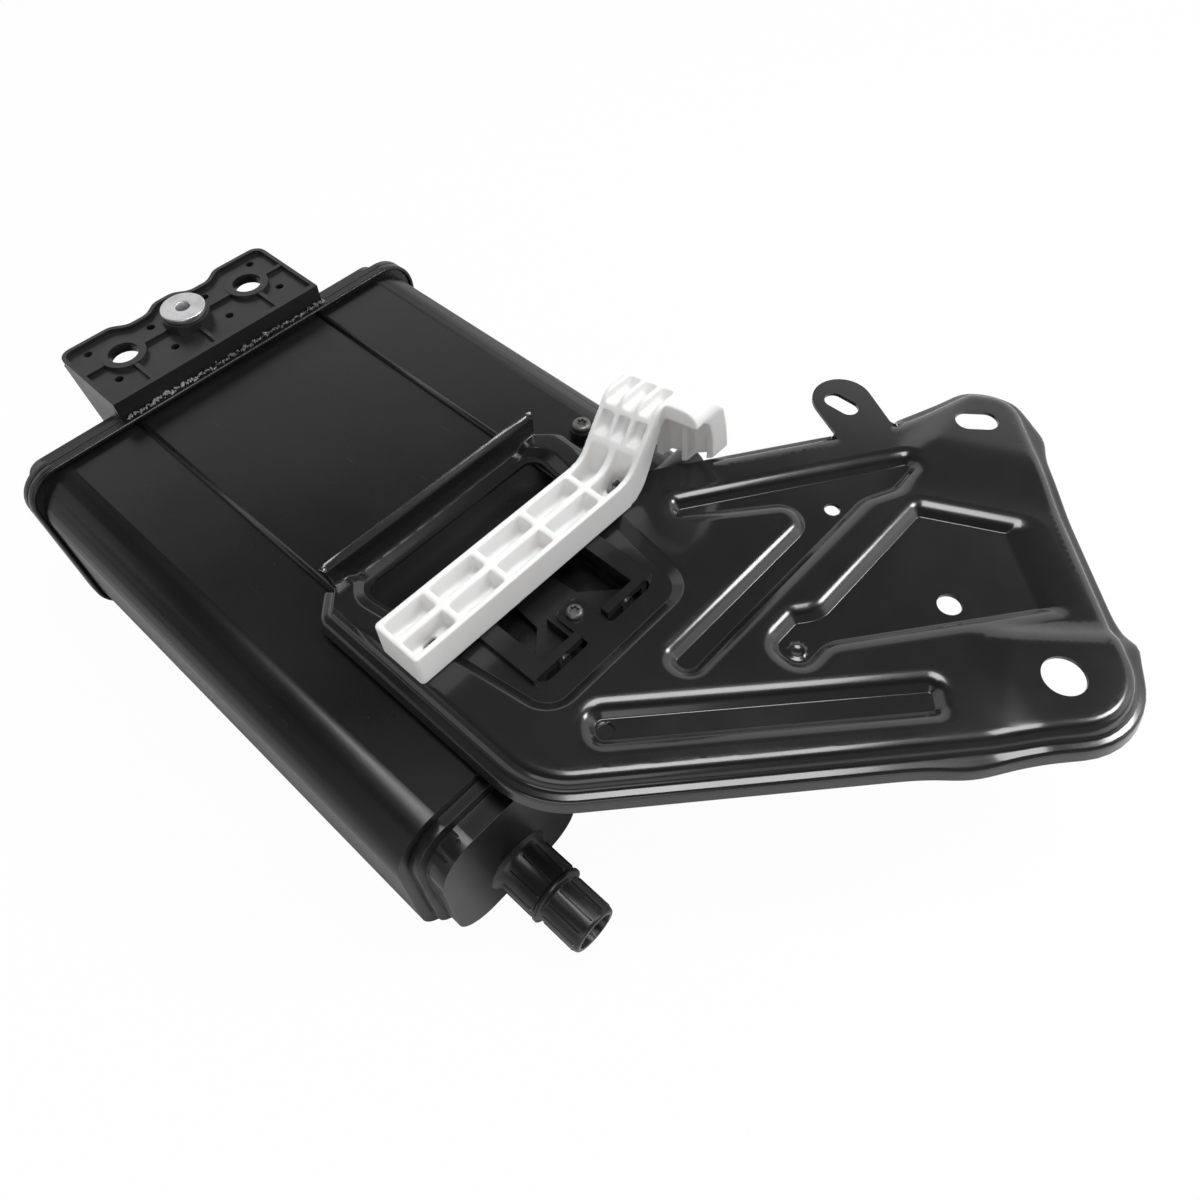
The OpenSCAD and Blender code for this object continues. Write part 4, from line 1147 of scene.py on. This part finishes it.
FLOOR_SIZE = 8.0
# Tones of the floor, and the share of plain white in what the camera sees of it
FLOOR_DARK = (0.84, 0.84, 0.84)
FLOOR_PALE = (0.86, 0.86, 0.86)
FLOOR_WHITE = 0.97
# Glow of the sky by height, from the horizon to the zenith
SKY = [(0.0, 1.0), (0.25, 1.0), (0.45, 1.0), (0.64, 0.95), (0.70, 0.10), (1.0, 0.08)]
# Level way to the bright side of the room, the share of glow on the dim side and where it changes
BRIGHT_WAY = (-0.6, 0.8, 0.0)
DIM_SHARE = 0.2
DIM_SPAN = (-0.4, 0.35)
# Softboxes: name, place, aim, size and power
SOFTBOXES = [
    ("ceiling box", (0.30, 0.16, 1.72), (0.13, 0.02, 0.10), (0.7, 0.7), 15.0),
    ("front fill", (0.95, -1.45, 0.80), (0.13, 0.02, 0.10), (1.6, 0.9), 7.0),
    ("high right box", (0.74, 0.82, 1.11), (0.15, 0.05, 0.10), (0.3, 0.3), 6.0),
    ("low right box", (1.20, 0.85, 0.62), (0.15, 0.05, 0.10), (0.7, 0.5), 0.9),
    ("left strip", (-0.75, -0.95, 0.55), (0.0, 0.0, 0.08), (0.35, 1.1), 0.5),
]


def plain_floor():
    """Pale floor that the camera sees almost white, with soft shadows."""
    bpy.ops.mesh.primitive_plane_add(size=FLOOR_SIZE, location=(0, 0, 0))
    floor = bpy.context.object
    floor.name = "floor"
    p = Paint("floor")
    diffuse = p.add("ShaderNodeBsdfDiffuse")
    grain = p.ramp(p.noise(3.0, 2.0), 0.3, 0.7)
    p.link(p.mix(grain, FLOOR_DARK, FLOOR_PALE), diffuse.inputs["Color"])
    glow = p.add("ShaderNodeEmission")
    pale = p.add("ShaderNodeMixShader")
    pale.inputs["Fac"].default_value = FLOOR_WHITE
    p.link(diffuse.outputs["BSDF"], pale.inputs[1])
    p.link(glow.outputs["Emission"], pale.inputs[2])
    path = p.add("ShaderNodeLightPath")
    seen = p.math("MAXIMUM", path.outputs["Is Camera Ray"], path.outputs["Is Transmission Ray"])
    both = p.add("ShaderNodeMixShader")
    p.link(seen, both.inputs["Fac"])
    p.link(diffuse.outputs["BSDF"], both.inputs[1])
    p.link(pale.outputs["Shader"], both.inputs[2])
    output = [n for n in p.tree.nodes if n.type == "OUTPUT_MATERIAL"][0]
    p.link(both.outputs["Shader"], output.inputs["Surface"])
    floor.data.materials.append(p.material)


def studio_world():
    """White walls near the horizon that fall off to a dim ceiling; the camera sees plain white."""
    world = bpy.data.worlds.new("studio")
    bpy.context.scene.world = world
    world.use_nodes = True
    tree = world.node_tree
    place = tree.nodes.new("ShaderNodeTexCoord")
    split = tree.nodes.new("ShaderNodeSeparateXYZ")
    tree.links.new(place.outputs["Generated"], split.inputs["Vector"])
    level = tree.nodes.new("ShaderNodeValToRGB")
    level.color_ramp.interpolation = "EASE"
    stops = level.color_ramp.elements
    while len(stops) < len(SKY):
        stops.new(0.5)
    for stop, (height, glow) in zip(stops, SKY):
        stop.position = height
        stop.color = (glow, glow, glow, 1)
    tree.links.new(split.outputs["Z"], level.inputs["Fac"])
    back = tree.nodes["Background"]
    tree.links.new(level.outputs["Color"], back.inputs["Color"])
    side = tree.nodes.new("ShaderNodeVectorMath")
    side.operation = "DOT_PRODUCT"
    side.inputs[1].default_value = BRIGHT_WAY
    tree.links.new(place.outputs["Generated"], side.inputs[0])
    share = tree.nodes.new("ShaderNodeMapRange")
    share.interpolation_type = "SMOOTHSTEP"
    share.inputs["From Min"].default_value = DIM_SPAN[0]
    share.inputs["From Max"].default_value = DIM_SPAN[1]
    share.inputs["To Min"].default_value = DIM_SHARE
    tree.links.new(side.outputs["Value"], share.inputs["Value"])
    tree.links.new(share.outputs["Result"], back.inputs["Strength"])
    plain = tree.nodes.new("ShaderNodeBackground")
    plain.inputs["Color"].default_value = (1.0, 1.0, 1.0, 1.0)
    path = tree.nodes.new("ShaderNodeLightPath")
    both = tree.nodes.new("ShaderNodeMixShader")
    tree.links.new(path.outputs["Is Camera Ray"], both.inputs["Fac"])
    tree.links.new(back.outputs["Background"], both.inputs[1])
    tree.links.new(plain.outputs["Background"], both.inputs[2])
    tree.links.new(both.outputs["Shader"], tree.nodes["World Output"].inputs["Surface"])


def softbox(name, place, aim, size, power):
    """Rectangular area light that faces a point."""
    data = bpy.data.lights.new(name, "AREA")
    data.shape = "RECTANGLE"
    data.size, data.size_y = size
    data.energy = power
    lamp = bpy.data.objects.new(name, data)
    bpy.context.collection.objects.link(lamp)
    lamp.location = place
    lamp.rotation_euler = (Vector(aim) - Vector(place)).to_track_quat("-Z", "Y").to_euler()


def photo_camera():
    """Camera at the place from which the photograph was taken."""
    data = bpy.data.cameras.new("camera")
    data.lens = LENS
    data.sensor_width = SENSOR
    data.clip_start = CLIP_START
    camera = bpy.data.objects.new("camera", data)
    bpy.context.collection.objects.link(camera)
    axes = Matrix((CAMERA_RIGHT, -CAMERA_DOWN, -CAMERA_AHEAD)).transposed()
    camera.matrix_world = Matrix.Translation(CAMERA_PLACE) @ axes.to_4x4()
    bpy.context.scene.camera = camera


plain_floor()
studio_world()
for box in SOFTBOXES:
    softbox(*box)
photo_camera()
bpy.context.scene.view_settings.view_transform = "Standard"
